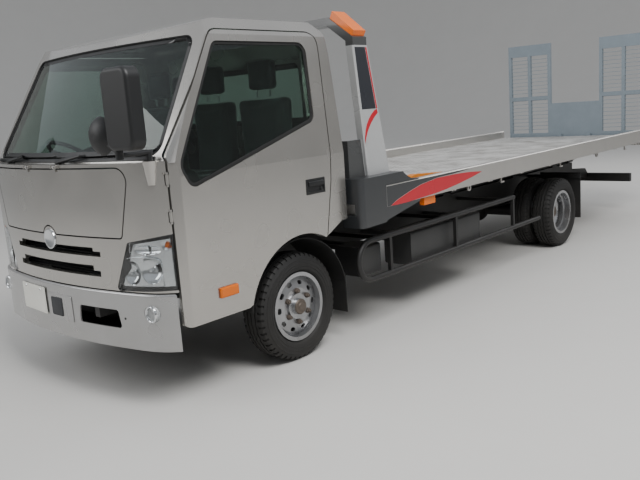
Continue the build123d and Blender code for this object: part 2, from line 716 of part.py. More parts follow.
REAR_INNER_X = REAR_OUTER_X - TWIN_SPACING
TWIN_MIDDLE = (REAR_OUTER_X + REAR_INNER_X) / 2
DISH = REAR_OUTER_X - TWIN_MIDDLE - DISC_WALL
REAR_DISC = ((-DISH, HUB_RADIUS), (-DISH, 118), (-DISH + 40, 172), (-40, WELL))
REAR_HUB_X = (600, 870)
with BuildPart() as rear_rim:
    add(rim(REAR_OUTER_X, WHEELBASE, REAR_DISC, HUB_RADIUS))
    turned = rim(REAR_OUTER_X, WHEELBASE, REAR_DISC, HUB_RADIUS).mirror(Plane.YZ.offset(TWIN_MIDDLE))
    add(turned)
    add(ring(REAR_HUB_X, WHEELBASE, SPINDLE_RADIUS + RUNNING, HUB_RADIUS))
    bar((REAR_HUB_X[1] - 20, REAR_HUB_X[1] + 15), WHEELBASE, TYRE_RADIUS, HUB_RADIUS - 12)
rear_rim = keep_largest(rear_rim)
save_pair("rim_rear", rear_rim)

with BuildPart() as rear_tyre:
    add(tyre(REAR_OUTER_X, WHEELBASE))
    add(tyre(REAR_INNER_X, WHEELBASE))
save_pair("tyre_rear", rear_tyre)

# Front axle, knuckles and tie rod

SPRING_LOW = AXLE_TUBE_RADIUS + TYRE_RADIUS + SEAT


def leaf_spring(middle, half_length):
    """A pair of leaf packs under the rails, bowed down to an axle."""
    with BuildPart() as spring:
        with BuildSketch(side(SPRING_X[0])):
            with BuildLine():
                top = ThreePointArc(
                    (middle - half_length, RAIL_LOW - SEAT), (middle, SPRING_LOW + SPRING_THICK),
                    (middle + half_length, RAIL_LOW - SEAT),
                )
                low = ThreePointArc(
                    (middle - half_length, RAIL_LOW - 12), (middle, SPRING_LOW),
                    (middle + half_length, RAIL_LOW - 12),
                )
                Line(top @ 0, low @ 0)
                Line(top @ 1, low @ 1)
            make_face()
        extrude(amount=SPRING_X[1] - SPRING_X[0])
        mirror(about=Plane.YZ)
    return spring.part


FORK = 24
KINGPIN_RADIUS = 20
BOSS_HALF = 50
BEAM_LOW = TYRE_RADIUS - 48
BEAM_TOP = TYRE_RADIUS + 30
with BuildPart() as front_axle:
    block((-KINGPIN_X, KINGPIN_X), (-38, 38), (BEAM_LOW, BEAM_TOP))
    for x in (-KINGPIN_X, KINGPIN_X):
        upright(x, 0, (TYRE_RADIUS - BOSS_HALF, TYRE_RADIUS + BOSS_HALF), BOSS_RADIUS)
        upright(x, 0, (TYRE_RADIUS - 60, TYRE_RADIUS + 60), KINGPIN_RADIUS + RUNNING, Mode.SUBTRACT)
    for x in (SPRING_X, (-SPRING_X[1], -SPRING_X[0])):
        block(x, (-45, 45), (BEAM_TOP, SPRING_LOW))
    add(leaf_spring(0, 600))
save("front_axle", front_axle)

FORK_X = KINGPIN_X + 44
ARM_LOW = TYRE_RADIUS - BOSS_HALF - RUNNING - FORK
ARM_X = KINGPIN_X           # equal cranks, so that the tie rod and both arms stay together
with BuildPart() as knuckle:
    upright(
        KINGPIN_X, 0, (ARM_LOW, TYRE_RADIUS + BOSS_HALF + RUNNING + FORK), KINGPIN_RADIUS
    )
    for low in (ARM_LOW, TYRE_RADIUS + BOSS_HALF + RUNNING):
        block((KINGPIN_X, FORK_X), (-30, 30), (low, low + FORK))
        upright(KINGPIN_X, 0, (low, low + FORK), 30)
    fork_top = TYRE_RADIUS + BOSS_HALF + RUNNING + FORK
    block((FORK_X - 8, FORK_X + 10), (-50, 50), (ARM_LOW, fork_top))
    bar((FORK_X, SPINDLE_X[1]), 0, TYRE_RADIUS, SPINDLE_RADIUS)
    with BuildSketch(plan(ARM_LOW)) as arm:
        with BuildLine():
            Polyline(
                (KINGPIN_X - 20, 0), (KINGPIN_X + 20, 0), (ARM_X + 16, STEER_ARM),
                (ARM_X - 16, STEER_ARM), close=True,
            )
        make_face()
        with Locations((ARM_X, STEER_ARM)):
            Circle(17)
    extrude(arm.sketch, amount=16)
save_pair("knuckle", knuckle)

TIE_ROD_RADIUS = 13
with BuildPart() as tie_rod:
    tie_z = ARM_LOW - SEAT - 22
    bar((-ARM_X, ARM_X), STEER_ARM, tie_z, TIE_ROD_RADIUS)
    for x in (-ARM_X, ARM_X):
        upright(x, STEER_ARM, (tie_z - 16, ARM_LOW - SEAT), 14)
save("tie_rod", tie_rod)

# Rear axle: tube, spindles, differential and springs

with BuildPart() as rear_axle:
    tube_end = REAR_HUB_X[0] - 8
    bar((-tube_end, tube_end), WHEELBASE, TYRE_RADIUS, AXLE_TUBE_RADIUS)
    for x in ((tube_end, REAR_HUB_X[1] - 25), (-REAR_HUB_X[1] + 25, -tube_end)):
        bar(x, WHEELBASE, TYRE_RADIUS, SPINDLE_RADIUS)
    with Locations((0, FRONT_AXLE_Y + WHEELBASE, TYRE_RADIUS)):
        Sphere(145)
    block((-50, 50), (WHEELBASE - 210, WHEELBASE), (TYRE_RADIUS - 50, TYRE_RADIUS + 50))
    add(leaf_spring(WHEELBASE, 640))
save("rear_axle", rear_axle)

# Engine and driveline

GEARBOX_BACK = 800
SHAFT_FRONT = (GEARBOX_BACK, 520)
SHAFT_BACK = (WHEELBASE - 210, TYRE_RADIUS)
with BuildPart() as driveline:
    block((-300, 300), (RISER + 60, 360), (430, 985))
    block((-170, 170), (360, GEARBOX_BACK), (440, 740))
    for x in ((299, RAIL_IN + 40), (-RAIL_IN - 40, -299)):
        block(x, (-220, -150), (RAIL_LOW + RAIL_WEB + SEAT, 545))
    run = SHAFT_BACK[0] - SHAFT_FRONT[0]
    fall = SHAFT_BACK[1] - SHAFT_FRONT[1]
    shaft_plane = Plane(
        origin=(0, FRONT_AXLE_Y + SHAFT_FRONT[0], SHAFT_FRONT[1]),
        x_dir=(1, 0, 0), z_dir=(0, run, fall),
    )
    with BuildSketch(shaft_plane) as shaft:
        Circle(38)
    extrude(shaft.sketch, amount=(run ** 2 + fall ** 2) ** 0.5 - 3)
save("driveline", driveline)

# Chassis frame: channel rails, crossmembers, cab brackets, rubber pads and bed hinges

PAD_Z = (RAIL_TOP, TILT_LOW - SEAT)
PADS = (1100, 2600, 4000, 5000)
with BuildPart() as frame:
    rail_long = FRAME_REAR - FRAME_FRONT
    with BuildSketch(face(FRAME_FRONT)):
        with BuildLine():
            Polyline(
                (RAIL_OUT, RAIL_LOW), (RAIL_OUT, RAIL_TOP), (RAIL_IN, RAIL_TOP),
                (RAIL_IN, RAIL_TOP - RAIL_WEB), (RAIL_OUT - RAIL_WEB, RAIL_TOP - RAIL_WEB),
                (RAIL_OUT - RAIL_WEB, RAIL_LOW + RAIL_WEB), (RAIL_IN, RAIL_LOW + RAIL_WEB),
                (RAIL_IN, RAIL_LOW), close=True,
            )
        make_face()
    extrude(amount=-rail_long)
    block((RAIL_OUT - 55, RAIL_OUT - RAIL_WEB), (HORN_FRONT, FRAME_FRONT + 60), (RAIL_LOW, HORN_TOP))
    plate((EAR_X[1] + 6, EAR_X[1] + 26), (
        (TILT_PIN[0] - 24, TILT_PIN[1]), (TILT_PIN[0], TILT_PIN[1] - 24),
        (FRAME_FRONT + 40, RAIL_TOP - 4), (FRAME_FRONT + 170, RAIL_TOP - 4),
        (TILT_PIN[0] + 24, TILT_PIN[1] + 12), (TILT_PIN[0], TILT_PIN[1] + 24),
    ))
    bar((EAR_X[0] - 12, EAR_X[1] + 10), *TILT_PIN, TILT_PIN_RADIUS)
    bar((TILT_IN - 50, RAIL_IN + 4), *BED_HINGE, BED_HINGE_RADIUS)
    hinge_block_z = (BED_HINGE[1] - 60, RAIL_TOP - 4)
    block((RAIL_IN - 10, RAIL_OUT - 4), (BED_HINGE[0] - 60, FRAME_REAR), hinge_block_z)
    for station in PADS:
        block((RAIL_IN, RAIL_OUT), (station - 60, station + 60), PAD_Z)
    lug_back = CROSSMEMBERS[-1] - CROSS_LONG / 2 + 20
    for low_x in (RAM_X - RAM_EYE_HALF - 14, RAM_X + RAM_EYE_HALF + 2):
        plate((low_x, low_x + 12), (
            (RAM_FOOT[0] - 24, RAM_FOOT[1] - 24), (RAM_FOOT[0] + 40, RAM_FOOT[1] - 24),
            (lug_back, CROSS_LOW - 60), (lug_back, CROSS_LOW + 40), (lug_back - 54, CROSS_LOW + 40),
            (lug_back - 56, RAM_FOOT[1] + 50), (RAM_FOOT[0] + 26, RAM_FOOT[1] + 26),
            (RAM_FOOT[0] - 24, RAM_FOOT[1] + 26),
        ))
    bar((RAM_X - RAM_EYE_HALF - 12, RAM_X + RAM_EYE_HALF + 12), *RAM_FOOT, RAM_PIN_RADIUS)
    mirror(about=Plane.YZ)
    for station in CROSSMEMBERS:
        block(
            (-RAIL_OUT + RAIL_WEB / 2, RAIL_OUT - RAIL_WEB / 2),
            (station - CROSS_LONG / 2, station + CROSS_LONG / 2), (CROSS_LOW, CROSS_TOP),
        )
save("frame", frame)

# Bumper: a shell round the nose that stands proud of the cab, with a rolled top edge

BUMPER_Z = (345, 662)
BUMPER_WALL = 8
BUMPER_PROUD = 16
BUMPER_ROLL = 11            # the radius of the bumper's top edge
BUMPER_ENDS = -952          # clear of the door's front edge as it swings
TOW_WINDOW = ((235, 458), (595, 458), (575, 562), (250, 562))
FOG_X = 815
FOG_Z = 555
FOG_HOLE = 48


def nose_column(proud, z):
    """The nose's plan moved outwards and carried between two heights."""
    with BuildPart() as column:
        with BuildSketch(plan(z[0])):
            add(front_outline(NOSE_FRONT, NOSE_EDGE, NOSE_SIDE, 0))
            if proud:
                offset(amount=proud, kind=Kind.ARC, mode=Mode.REPLACE)
        extrude(amount=z[1] - z[0])
    return column.part


with BuildPart() as bumper_form:
    add(nose_column(BUMPER_PROUD, BUMPER_Z))
    fillet(bumper_form.faces().sort_by(Axis.Z)[-1].edges(), BUMPER_ROLL)
with BuildPart() as front_bumper:
    add(bumper_form.part)
    hollow_z = (BUMPER_Z[0] - 1, BUMPER_Z[1] - BUMPER_WALL)
    add(nose_column(BUMPER_PROUD - BUMPER_WALL, hollow_z), mode=Mode.SUBTRACT)
    add(nose_column(0, (BUMPER_Z[0] - 1, BUMPER_Z[1] + 1)), mode=Mode.SUBTRACT)
    block((-1200, 1200), (BUMPER_ENDS, 1200), (0, 1000), Mode.SUBTRACT)
    extrude(rounded(TOW_WINDOW, (18, 18, 18, 18), face()), amount=1300, mode=Mode.SUBTRACT)
    with BuildSketch(face()) as fog_holes:
        with Locations((FOG_X, FOG_Z), (-FOG_X, FOG_Z)):
            Circle(FOG_HOLE)
    extrude(fog_holes.sketch, amount=1300, mode=Mode.SUBTRACT)
front_bumper = keep_largest(front_bumper)
save("front_bumper", front_bumper)

# Rear under-run bar, its brackets and the lamps

REAR_BAR = (6000, 6060)
REAR_BAR_Z = (390, 490)
REAR_BAR_HALF = 940
with BuildPart() as rear_bumper:
    block((-REAR_BAR_HALF, REAR_BAR_HALF), REAR_BAR, REAR_BAR_Z)
    for x in ((RAIL_IN + 20, RAIL_OUT - RAIL_WEB - 1), (-RAIL_OUT + RAIL_WEB + 1, -RAIL_IN - 20)):
        plate(x, (
            (FRAME_REAR + SEAT, 510), (REAR_BAR[0] + 20, REAR_BAR_Z[1] - 60),
            (REAR_BAR[0] + 20, REAR_BAR_Z[1] - 4), (REAR_BAR[0] - 60, 560), (FRAME_REAR + SEAT, 600),
        ))
save("rear_bumper", rear_bumper)

TAIL_LAMP_X = ((560, 700), (705, 790), (795, 900))
with BuildPart() as chassis_lamps:
    for x in TAIL_LAMP_X:
        block(x, (REAR_BAR[1] + SEAT, REAR_BAR[1] + 45), (REAR_BAR_Z[0] + 5, REAR_BAR_Z[1] - 5))
    bar_station = NOSE_EDGE[1] + 20
    with BuildSketch(face(bar_station)) as fog:
        with Locations((FOG_X, FOG_Z)):
            Circle(FOG_HOLE - 0.5)
    extrude(fog.sketch, amount=22)
    mirror(about=Plane.YZ)
save("chassis_lamps", chassis_lamps)

# Side guards: two level tubes joined by a round bend in front, on brackets from the frame

GUARD_X = 985
GUARD_TUBE = 21
GUARD_TOP = 650
GUARD_LOW = 375
GUARD_FRONT = 540
GUARD_BACK = (2810, 3330)
with BuildPart() as side_guards:
    radius = (GUARD_TOP - GUARD_LOW) / 2
    with BuildLine(side(GUARD_X)) as guard_line:
        Line((GUARD_BACK[0], GUARD_TOP), (GUARD_FRONT + radius, GUARD_TOP))
        ThreePointArc(
            (GUARD_FRONT + radius, GUARD_TOP), (GUARD_FRONT, GUARD_TOP - radius),
            (GUARD_FRONT + radius, GUARD_LOW),
        )
        Line((GUARD_FRONT + radius, GUARD_LOW), (GUARD_BACK[1], GUARD_LOW))
    with BuildSketch(Plane(origin=guard_line.line @ 0, z_dir=guard_line.line % 0)):
        Circle(GUARD_TUBE)
    sweep(path=guard_line.line)
    for station in (900, 1800, GUARD_BACK[0] - 20):
        block((GUARD_X - 14, GUARD_X + 14), (station - 14, station + 14), (GUARD_LOW, GUARD_TOP))
        block((RAIL_OUT + SEAT, GUARD_X), (station - 14, station + 14), (GUARD_TOP - 40, GUARD_TOP - 12))
    mirror(about=Plane.YZ)
save("side_guards", side_guards)

# Boxes and tanks below the bed

TOOLBOX = ((690, 940), (1230, 2270), (350, 600))
BATTERY = ((690, 930), (640, 860), (390, 600))
FUEL_TANK = ((-935, -500), (1100, 1750), (330, 600))
BRACKETS = (                # X, stations
    ((RAIL_OUT + SEAT, 700), (1300, 2200)), ((RAIL_OUT + SEAT, 700), (700, 800)),
    ((-510, -RAIL_OUT - SEAT), (1200, 1650)),
)
with BuildPart() as tanks_and_boxes:
    block(*TOOLBOX)
    block(*BATTERY)
    block(*FUEL_TANK)
    fillet(tanks_and_boxes.edges().filter_by(Axis.Y), 18)
    for x, stations in BRACKETS:
        for station in stations:
            block(x, (station - 20, station + 20), (560, 590))
save("tanks_and_boxes", tanks_and_boxes)

# Arch liners and mud flaps

with BuildPart() as mud_flaps:
    with BuildSketch(side(600)):
        with Locations((0, TYRE_RADIUS)):
            Circle(LINER_RADIUS)
            Circle(LINER_RADIUS - 6, mode=Mode.SUBTRACT)
        with Locations((0, TYRE_RADIUS - 250)):
            Rectangle(1000, 650, mode=Mode.SUBTRACT)
    extrude(amount=350)
    block((620, 949), (429, 435), (200, 470))
    liner_top = TYRE_RADIUS + LINER_RADIUS + 9
    block((RAIL_OUT + SEAT, 940), (-20, 20), (liner_top - 12, liner_top))
    block((RAIL_OUT + SEAT, 445), (-20, 20), (600, liner_top))
    rear = WHEELBASE + TYRE_RADIUS + 80
    block((560, 1005), (rear, rear + 6), (220, 700))
    block((RAIL_OUT + SEAT, 1005), (rear - 12, rear), (640, 675))
    mirror(about=Plane.YZ)
save("mud_flaps", mud_flaps)

EXHAUST = (-230, 450)       # X and height
EXHAUST_TUBES = (           # middle, radius, length
    (1300, 95, 620), (2150, 32, 1100), (700, 32, 620),
)
with BuildPart() as exhaust:
    for station, radius, length in EXHAUST_TUBES:
        with Locations(Location((EXHAUST[0], FRONT_AXLE_Y + station, EXHAUST[1]), (90, 0, 0))):
            Cylinder(radius, length)
    hanger = (CROSSMEMBERS[1] - 15, CROSSMEMBERS[1] + 15)
    block((EXHAUST[0] - 10, EXHAUST[0] + 10), hanger, (EXHAUST[1] + 50, CROSS_LOW - SEAT))
save("exhaust", exhaust)

# Tilt frame: two beams with lugs at the rear hinge, cross tubes and the shoes the bed slides on

BEAM_WALL = 8
with BuildPart() as tilt_frame:
    block((TILT_IN, TILT_OUT), (TILT_FRONT, FRAME_REAR), (TILT_LOW, TILT_TOP))
    block(
        (TILT_IN + BEAM_WALL, TILT_OUT - BEAM_WALL), (TILT_FRONT + BEAM_WALL, FRAME_REAR - BEAM_WALL),
        (TILT_LOW + BEAM_WALL, TILT_TOP - BEAM_WALL), Mode.SUBTRACT,
    )
    plate((TILT_IN - 30, TILT_IN - 8), (
        (BED_HINGE[0] - 60, TILT_LOW + 60), (BED_HINGE[0] - 30, BED_HINGE[1] - 34),
        (BED_HINGE[0] + 30, BED_HINGE[1] - 34), (BED_HINGE[0] + 60, TILT_LOW + 60),
    ))
    lug_foot = (BED_HINGE[0] - 60, BED_HINGE[0] + 60)
    block((TILT_IN - 30, TILT_IN + 4), lug_foot, (TILT_LOW + 20, TILT_LOW + 60))
    bar((TILT_IN - 40, TILT_IN), *BED_HINGE, BED_HINGE_RADIUS + RUNNING, Mode.SUBTRACT)
    for station in SHOES:
        block((TILT_OUT - 4, RUNNER_OUT), (station - 70, station + 70), (TILT_LOW + 10, RUNNER_LOW - SEAT))
    mirror(about=Plane.YZ)
    for station in (TILT_FRONT + 40, 2180, 4500, 5200):
        block((-TILT_IN - 4, TILT_IN + 4), (station - 30, station + 30), (TILT_LOW + 20, TILT_TOP - 20))
    eye_room = (RAM_X - RAM_EYE_HALF - 2, RAM_X + RAM_EYE_HALF + 2)
    for x in ((-TILT_IN - 4, -eye_room[1]), (-eye_room[0], eye_room[0]), (eye_room[1], TILT_IN + 4)):
        bar(x, *RAM_EYE, RAM_EYE_RADIUS - 4)
    bar((-TILT_IN, TILT_IN), *RAM_EYE, RAM_PIN_RADIUS)
save("tilt_frame", tilt_frame)

# Tilt rams: barrels on the chassis, rods that reach the tilt frame

RAM_RUN = RAM_EYE[0] - RAM_FOOT[0]
RAM_RISE = RAM_EYE[1] - RAM_FOOT[1]
RAM_LONG = (RAM_RUN ** 2 + RAM_RISE ** 2) ** 0.5
BARREL_LONG = RAM_LONG - 140
ROD_FOOT = 75               # how far up the ram its rod begins
EYE_PLAY = 1.5              # the rod's eye is wider than its pin, which moves on a circle
with BuildPart() as tilt_barrels:
    axis_plane = Plane(
        origin=(RAM_X, FRONT_AXLE_Y + RAM_FOOT[0], RAM_FOOT[1]), x_dir=(1, 0, 0), z_dir=(0, RAM_RUN, RAM_RISE)
    )
    with BuildSketch(axis_plane.offset(46)) as barrel:
        Circle(RAM_RADIUS)
    extrude(barrel.sketch, amount=BARREL_LONG - 46)
    with BuildSketch(axis_plane) as neck:
        Rectangle(RAM_EYE_HALF * 1.6, RAM_EYE_HALF * 1.6)
    extrude(neck.sketch, amount=50)
    eye_x = (RAM_X - RAM_EYE_HALF, RAM_X + RAM_EYE_HALF)
    bar(eye_x, *RAM_FOOT, RAM_EYE_RADIUS - 2)
    bar(eye_x, *RAM_FOOT, RAM_PIN_RADIUS + RUNNING, Mode.SUBTRACT)
    with BuildSketch(axis_plane.offset(60)) as bore:
        Circle(ROD_RADIUS + RUNNING)
    extrude(bore.sketch, amount=BARREL_LONG, mode=Mode.SUBTRACT)
    mirror(about=Plane.YZ)
save("tilt_barrels", tilt_barrels)

with BuildPart() as tilt_rods:
    with BuildSketch(axis_plane.offset(ROD_FOOT)) as rod_section:
        Circle(ROD_RADIUS)
    extrude(rod_section.sketch, amount=RAM_LONG - ROD_FOOT - RAM_PIN_RADIUS)
    bar(eye_x, *RAM_EYE, RAM_EYE_RADIUS)
    for x in ((0, eye_x[0]), (eye_x[1], RAIL_IN)):
        bar(x, *RAM_EYE, RAM_EYE_RADIUS + 2, Mode.SUBTRACT)
    bar(eye_x, *RAM_EYE, RAM_PIN_RADIUS + EYE_PLAY, Mode.SUBTRACT)
    mirror(about=Plane.YZ)
save("tilt_rods", tilt_rods)

# Bed: floor plate on crossbars, with two runners that slide on the tilt frame

BED_INNER = BED_HALF - BED_RAIL_WIDTH
DECK_LOW = DECK_TOP - DECK_PLATE
BAR_PITCH = (BED_REAR - BED_FRONT - 160) / (CROSSBARS - 1)
SEAM = (1797, 1803)         # the groove between the deck's short front sheet and its rear sheet
with BuildPart() as deck:
    block((-BED_INNER + SEAT, BED_INNER - SEAT), (BED_FRONT, BED_REAR), (DECK_LOW, DECK_TOP))
    block((-BED_INNER, BED_INNER), SEAM, (DECK_TOP - 2, DECK_TOP), Mode.SUBTRACT)
    for count in range(CROSSBARS):
        station = BED_FRONT + 50 + count * BAR_PITCH
        block((-BED_INNER + SEAT, BED_INNER - SEAT), (station - 30, station + 30), (CROSSBAR_LOW, DECK_LOW))
    block((-BED_INNER + SEAT, BED_INNER - SEAT), (BED_REAR - 70, BED_REAR), (800, DECK_LOW))
    for x in ((RUNNER_IN, RUNNER_OUT), (-RUNNER_OUT, -RUNNER_IN)):
        block(x, (BED_FRONT + 60, BED_REAR), (RUNNER_LOW, CROSSBAR_LOW + 4))
save("deck", deck)

# Side rails: hollow beams whose top edge slopes in, with rope hooks below

HOOKS = (2440, 3660, 5450)
LASHING_EYES = (1900, 4600)
EYE_Z = 856
EYE_RADIUS = 12
with BuildPart() as side_rails:
    with BuildSketch(face(BED_FRONT + 250)):
        with BuildLine():
            Polyline(
                (BED_INNER, BED_RAIL_LOW), (BED_HALF, BED_RAIL_LOW), (BED_HALF, BED_RAIL_TOP - 6),
                (BED_HALF - 6, BED_RAIL_TOP), (BED_INNER + 10, BED_RAIL_TOP), (BED_INNER, BED_RAIL_TOP - 12),
                close=True,
            )
        make_face()
        with BuildLine():
            Polyline(
                (BED_INNER + 5, BED_RAIL_LOW + 5), (BED_HALF - 5, BED_RAIL_LOW + 5),
                (BED_HALF - 5, BED_RAIL_TOP - 9), (BED_INNER + 5, BED_RAIL_TOP - 14), close=True,
            )
        make_face(mode=Mode.SUBTRACT)
    extrude(amount=-(BED_REAR + 30 - BED_FRONT - 250))
    hook_x = (BED_HALF - 40, BED_HALF - 28)
    for station in HOOKS:
        block(hook_x, (station - 6, station + 6), (BED_RAIL_LOW - 40, BED_RAIL_LOW))
        block(hook_x, (station - 6, station + 50), (BED_RAIL_LOW - 50, BED_RAIL_LOW - 38))
    for station in LASHING_EYES:
        eye_points = (
            (station - 26, EYE_Z - 24), (station + 26, EYE_Z - 24),
            (station + 26, BED_RAIL_LOW + 2), (station - 26, BED_RAIL_LOW + 2),
        )
        extrude(rounded(eye_points, (20, 20, 1, 1), side(BED_HALF - 40)), amount=12)
        bar((BED_HALF - 45, BED_HALF - 20), station, EYE_Z, EYE_RADIUS, Mode.SUBTRACT)
    mirror(about=Plane.YZ)
save("side_rails", side_rails)

# Corner covers: the moulded ends that carry the gantry posts and sweep down onto the rails

COVER_FRONT = 475
COVER_X = (925, BED_HALF)
COVER_END = 1150
COVER_LOW = 770
COVER_BACK = BED_FRONT + 250 - SEAT
COVER_ROUND = 40            # the radius of the cover's outer front corner
SWEEP_START = POST_FOOT[1] + 30
with BuildPart() as cover_front:
    plate(COVER_X, (
        (COVER_FRONT, COVER_LOW), (COVER_FRONT + 260, COVER_LOW + 5), (COVER_BACK, COVER_LOW + 18),
        (COVER_BACK, COVER_TOP), (COVER_FRONT, COVER_TOP),
    ))
    front_edges = cover_front.faces().sort_by(Axis.Y)[0].edges()
    fillet(front_edges.filter_by(Axis.Z).sort_by(Axis.X)[-1:], COVER_ROUND)
with BuildPart() as cover_sweep:
    with BuildSketch(side(BED_HALF - 50)) as sweep_outline:
        with BuildLine():
            fall = ThreePointArc(
                (COVER_END, BED_RAIL_TOP + 5), (1040, BED_RAIL_TOP + 20), (SWEEP_START, COVER_TOP)
            )
            Polyline(
                fall @ 1, (COVER_BACK - 1, COVER_TOP), (COVER_BACK - 1, BED_RAIL_TOP + SEAT),
                (COVER_END, BED_RAIL_TOP + SEAT), fall @ 0,
            )
        make_face()
    extrude(sweep_outline.sketch, amount=50)
with BuildPart() as corner_covers:
    add(cover_front.part)
    add(cover_sweep.part)
    plate((BED_HALF - 35, BED_HALF), (
        (COVER_BACK - 1, COVER_LOW + 18), (COVER_END, BED_RAIL_LOW - 16),
        (COVER_END, BED_RAIL_LOW - SEAT), (COVER_BACK - 1, BED_RAIL_LOW - SEAT),
    ))
    inner_z = (DECK_TOP + SEAT, COVER_TOP)
    block((COVER_X[0], BED_INNER - 20), (COVER_BACK - 1, SWEEP_START), inner_z)
    over_rail = (BED_RAIL_TOP + SEAT, COVER_TOP)
    block((BED_INNER - 21, BED_HALF - 49), (COVER_BACK - 1, SWEEP_START), over_rail)
    deck_end_z = (CROSSBAR_LOW - 3, DECK_TOP + SEAT)
    block((COVER_X[0] - 1, BED_INNER), (COVER_FRONT, COVER_BACK), deck_end_z, Mode.SUBTRACT)
    mirror(about=Plane.YZ)
save("corner_covers", corner_covers)

# Gantry: two tapering posts, sloping shoulders, a level beam and the headboard between them

SHOULDER = (
    (1000, 1965), (1000, 2010), (800, 2155), (690, 2155),
    (690, 2105), (780, 2105), (938, 1990), (938, 1965),
)
HEADBOARD_TOP = 1345
with BuildPart() as gantry_post:
    plate(POST_X, (
        (POST_FOOT[0], COVER_TOP + SEAT), (POST_FOOT[1], COVER_TOP + SEAT),
        (POST_HEAD[1], POST_HEAD_Z), (POST_HEAD[0], POST_HEAD_Z),
    ))
    chamfer(gantry_post.faces().sort_by(Axis.X)[-1].edges().sort_by(Axis.Y)[0], 10)
with BuildPart() as gantry:
    add(gantry_post.part)
    with BuildSketch(face(POST_HEAD[0])) as shoulder:
        with BuildLine():
            Polyline(*SHOULDER, close=True)
        make_face()
    extrude(shoulder.sketch, amount=-(POST_HEAD[1] - POST_HEAD[0]))
    block((0, 691), (POST_HEAD[0], POST_HEAD[1]), (2105, 2155))
    board = (BED_FRONT + 20, BED_FRONT + 50)
    block((0, COVER_X[0] - 4), board, (DECK_TOP + SEAT, HEADBOARD_TOP))
    block((COVER_X[0] - 6, POST_X[0] + 1), board, (COVER_TOP + SEAT, HEADBOARD_TOP))
    cheek = (BED_FRONT + 20, POST_FOOT[0] + 20)
    block((POST_X[0], POST_X[0] + 30), cheek, (COVER_TOP + SEAT, HEADBOARD_TOP))
    mirror(about=Plane.YZ)
save("gantry", gantry)

# Lamps on the bed: a beacon on each shoulder, an amber marker below each rail

with BuildPart() as bed_lamps:
    with BuildSketch(face(POST_HEAD[0] + 8)):
        with BuildLine():
            Polyline(
                (SHOULDER[1][0] - 12, SHOULDER[1][1] + 9), (SHOULDER[1][0] + 6, SHOULDER[1][1] + 40),
                (SHOULDER[2][0] + 34, SHOULDER[2][1] + 36), (SHOULDER[2][0] + 12, SHOULDER[2][1] - 8),
                close=True,
            )
        make_face()
    extrude(amount=-(POST_HEAD[1] - POST_HEAD[0] - 16))
    block((BED_HALF - 60, BED_HALF - 20), (1230, 1380), (BED_RAIL_LOW - 62, BED_RAIL_LOW - SEAT))
    mirror(about=Plane.YZ)
save("bed_lamps", bed_lamps)

WINCH_X = (-260, 260)
WINCH_STATION = (600, 800)
with BuildPart() as winch:
    for x in ((WINCH_X[0], WINCH_X[0] + 60), (WINCH_X[1] - 60, WINCH_X[1])):
        block(x, WINCH_STATION, (DECK_TOP + SEAT, DECK_TOP + 190))
    bar((WINCH_X[0] + 50, WINCH_X[1] - 50), sum(WINCH_STATION) / 2, DECK_TOP + 100, 62)
save("winch", winch)

GUIDE_X = (940, 1000)
with BuildPart() as wheel_guides:
    plate(GUIDE_X, (
        (1150, DECK_TOP + SEAT), (1750, DECK_TOP + SEAT), (1750, DECK_TOP + 62),
        (1700, DECK_TOP + 78), (1260, DECK_TOP + 110), (1210, DECK_TOP + 104), (1150, DECK_TOP + 50),
    ))
    chamfer(wheel_guides.edges().filter_by(Axis.Z), 12)
    mirror(about=Plane.YZ)
save("wheel_guides", wheel_guides)

# Ramp gate: two open-grated ramps and the panel between them, hinged at the tail

STILE = 42
RUNGS = 21
SOLID_TOP = 150
with BuildPart() as ramps:
    ramp_width = RAMP_X[1] - RAMP_X[0]
    middle = sum(RAMP_X) / 2
    foot = GATE_HINGE[1] + 30
    with BuildSketch(face(TAIL)):
        with Locations((middle, (foot + GATE_TOP) / 2)):
            Rectangle(ramp_width, GATE_TOP - foot)
        opening = (ramp_width - 3 * STILE) / 2
        low_open = foot + 60
        high_open = GATE_TOP - SOLID_TOP
        with Locations(
            (RAMP_X[0] + STILE + opening / 2, (low_open + high_open) / 2),
            (RAMP_X[1] - STILE - opening / 2, (low_open + high_open) / 2),
        ):
            Rectangle(opening, high_open - low_open, mode=Mode.SUBTRACT)
    extrude(amount=GATE_THICK)
    pitch = (high_open - low_open) / RUNGS
    for count in range(1, RUNGS):
        z = low_open + count * pitch
        block((RAMP_X[0] + STILE - 1, RAMP_X[1] - STILE + 1), (TAIL - 35, TAIL - 8), (z - 3, z + 3))
    block((RAMP_X[0] + STILE - 1, RAMP_X[1] - STILE + 1), (TAIL - GATE_THICK, TAIL), (1440, 1490))
    mirror(about=Plane.YZ)
save("ramps", ramps)

with BuildPart() as gate_panel:
    block((-RAMP_X[0] + SEAT, RAMP_X[0] - SEAT), (TAIL - GATE_THICK, TAIL - 12), (foot, 1385))
    for x in (-200, 200):
        block((x - 30, x + 30), (GATE_HINGE[0] - 25, TAIL - 12), (GATE_HINGE[1] - 25, foot + 40))
        bar((x - 31, x + 31), *GATE_HINGE, GATE_HINGE_RADIUS + RUNNING, Mode.SUBTRACT)
save("gate_panel", gate_panel)

with BuildPart() as gate_hinge:
    bar((-RAMP_X[1], RAMP_X[1]), *GATE_HINGE, GATE_HINGE_RADIUS)
    for x in (-600, 0, 600):
        block((x - 40, x + 40), (BED_REAR + SEAT, GATE_HINGE[0]), (GATE_HINGE[1] - 12, GATE_HINGE[1] + 12))
save("gate_hinge", gate_hinge)
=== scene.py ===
# %% [markdown]
# # A slide-bed car carrier
# The truck comes in as a fixed frame of plain shapes, already at its real size and place.
# This lesson gives each shape its real finish, and models what the frame leaves out: the
# tread of the tyres, the insides of the headlamps, the seats, the wipers, nuts, seals and
# stripes. Lengths are in millimetres, and a station is a distance behind the front axle.

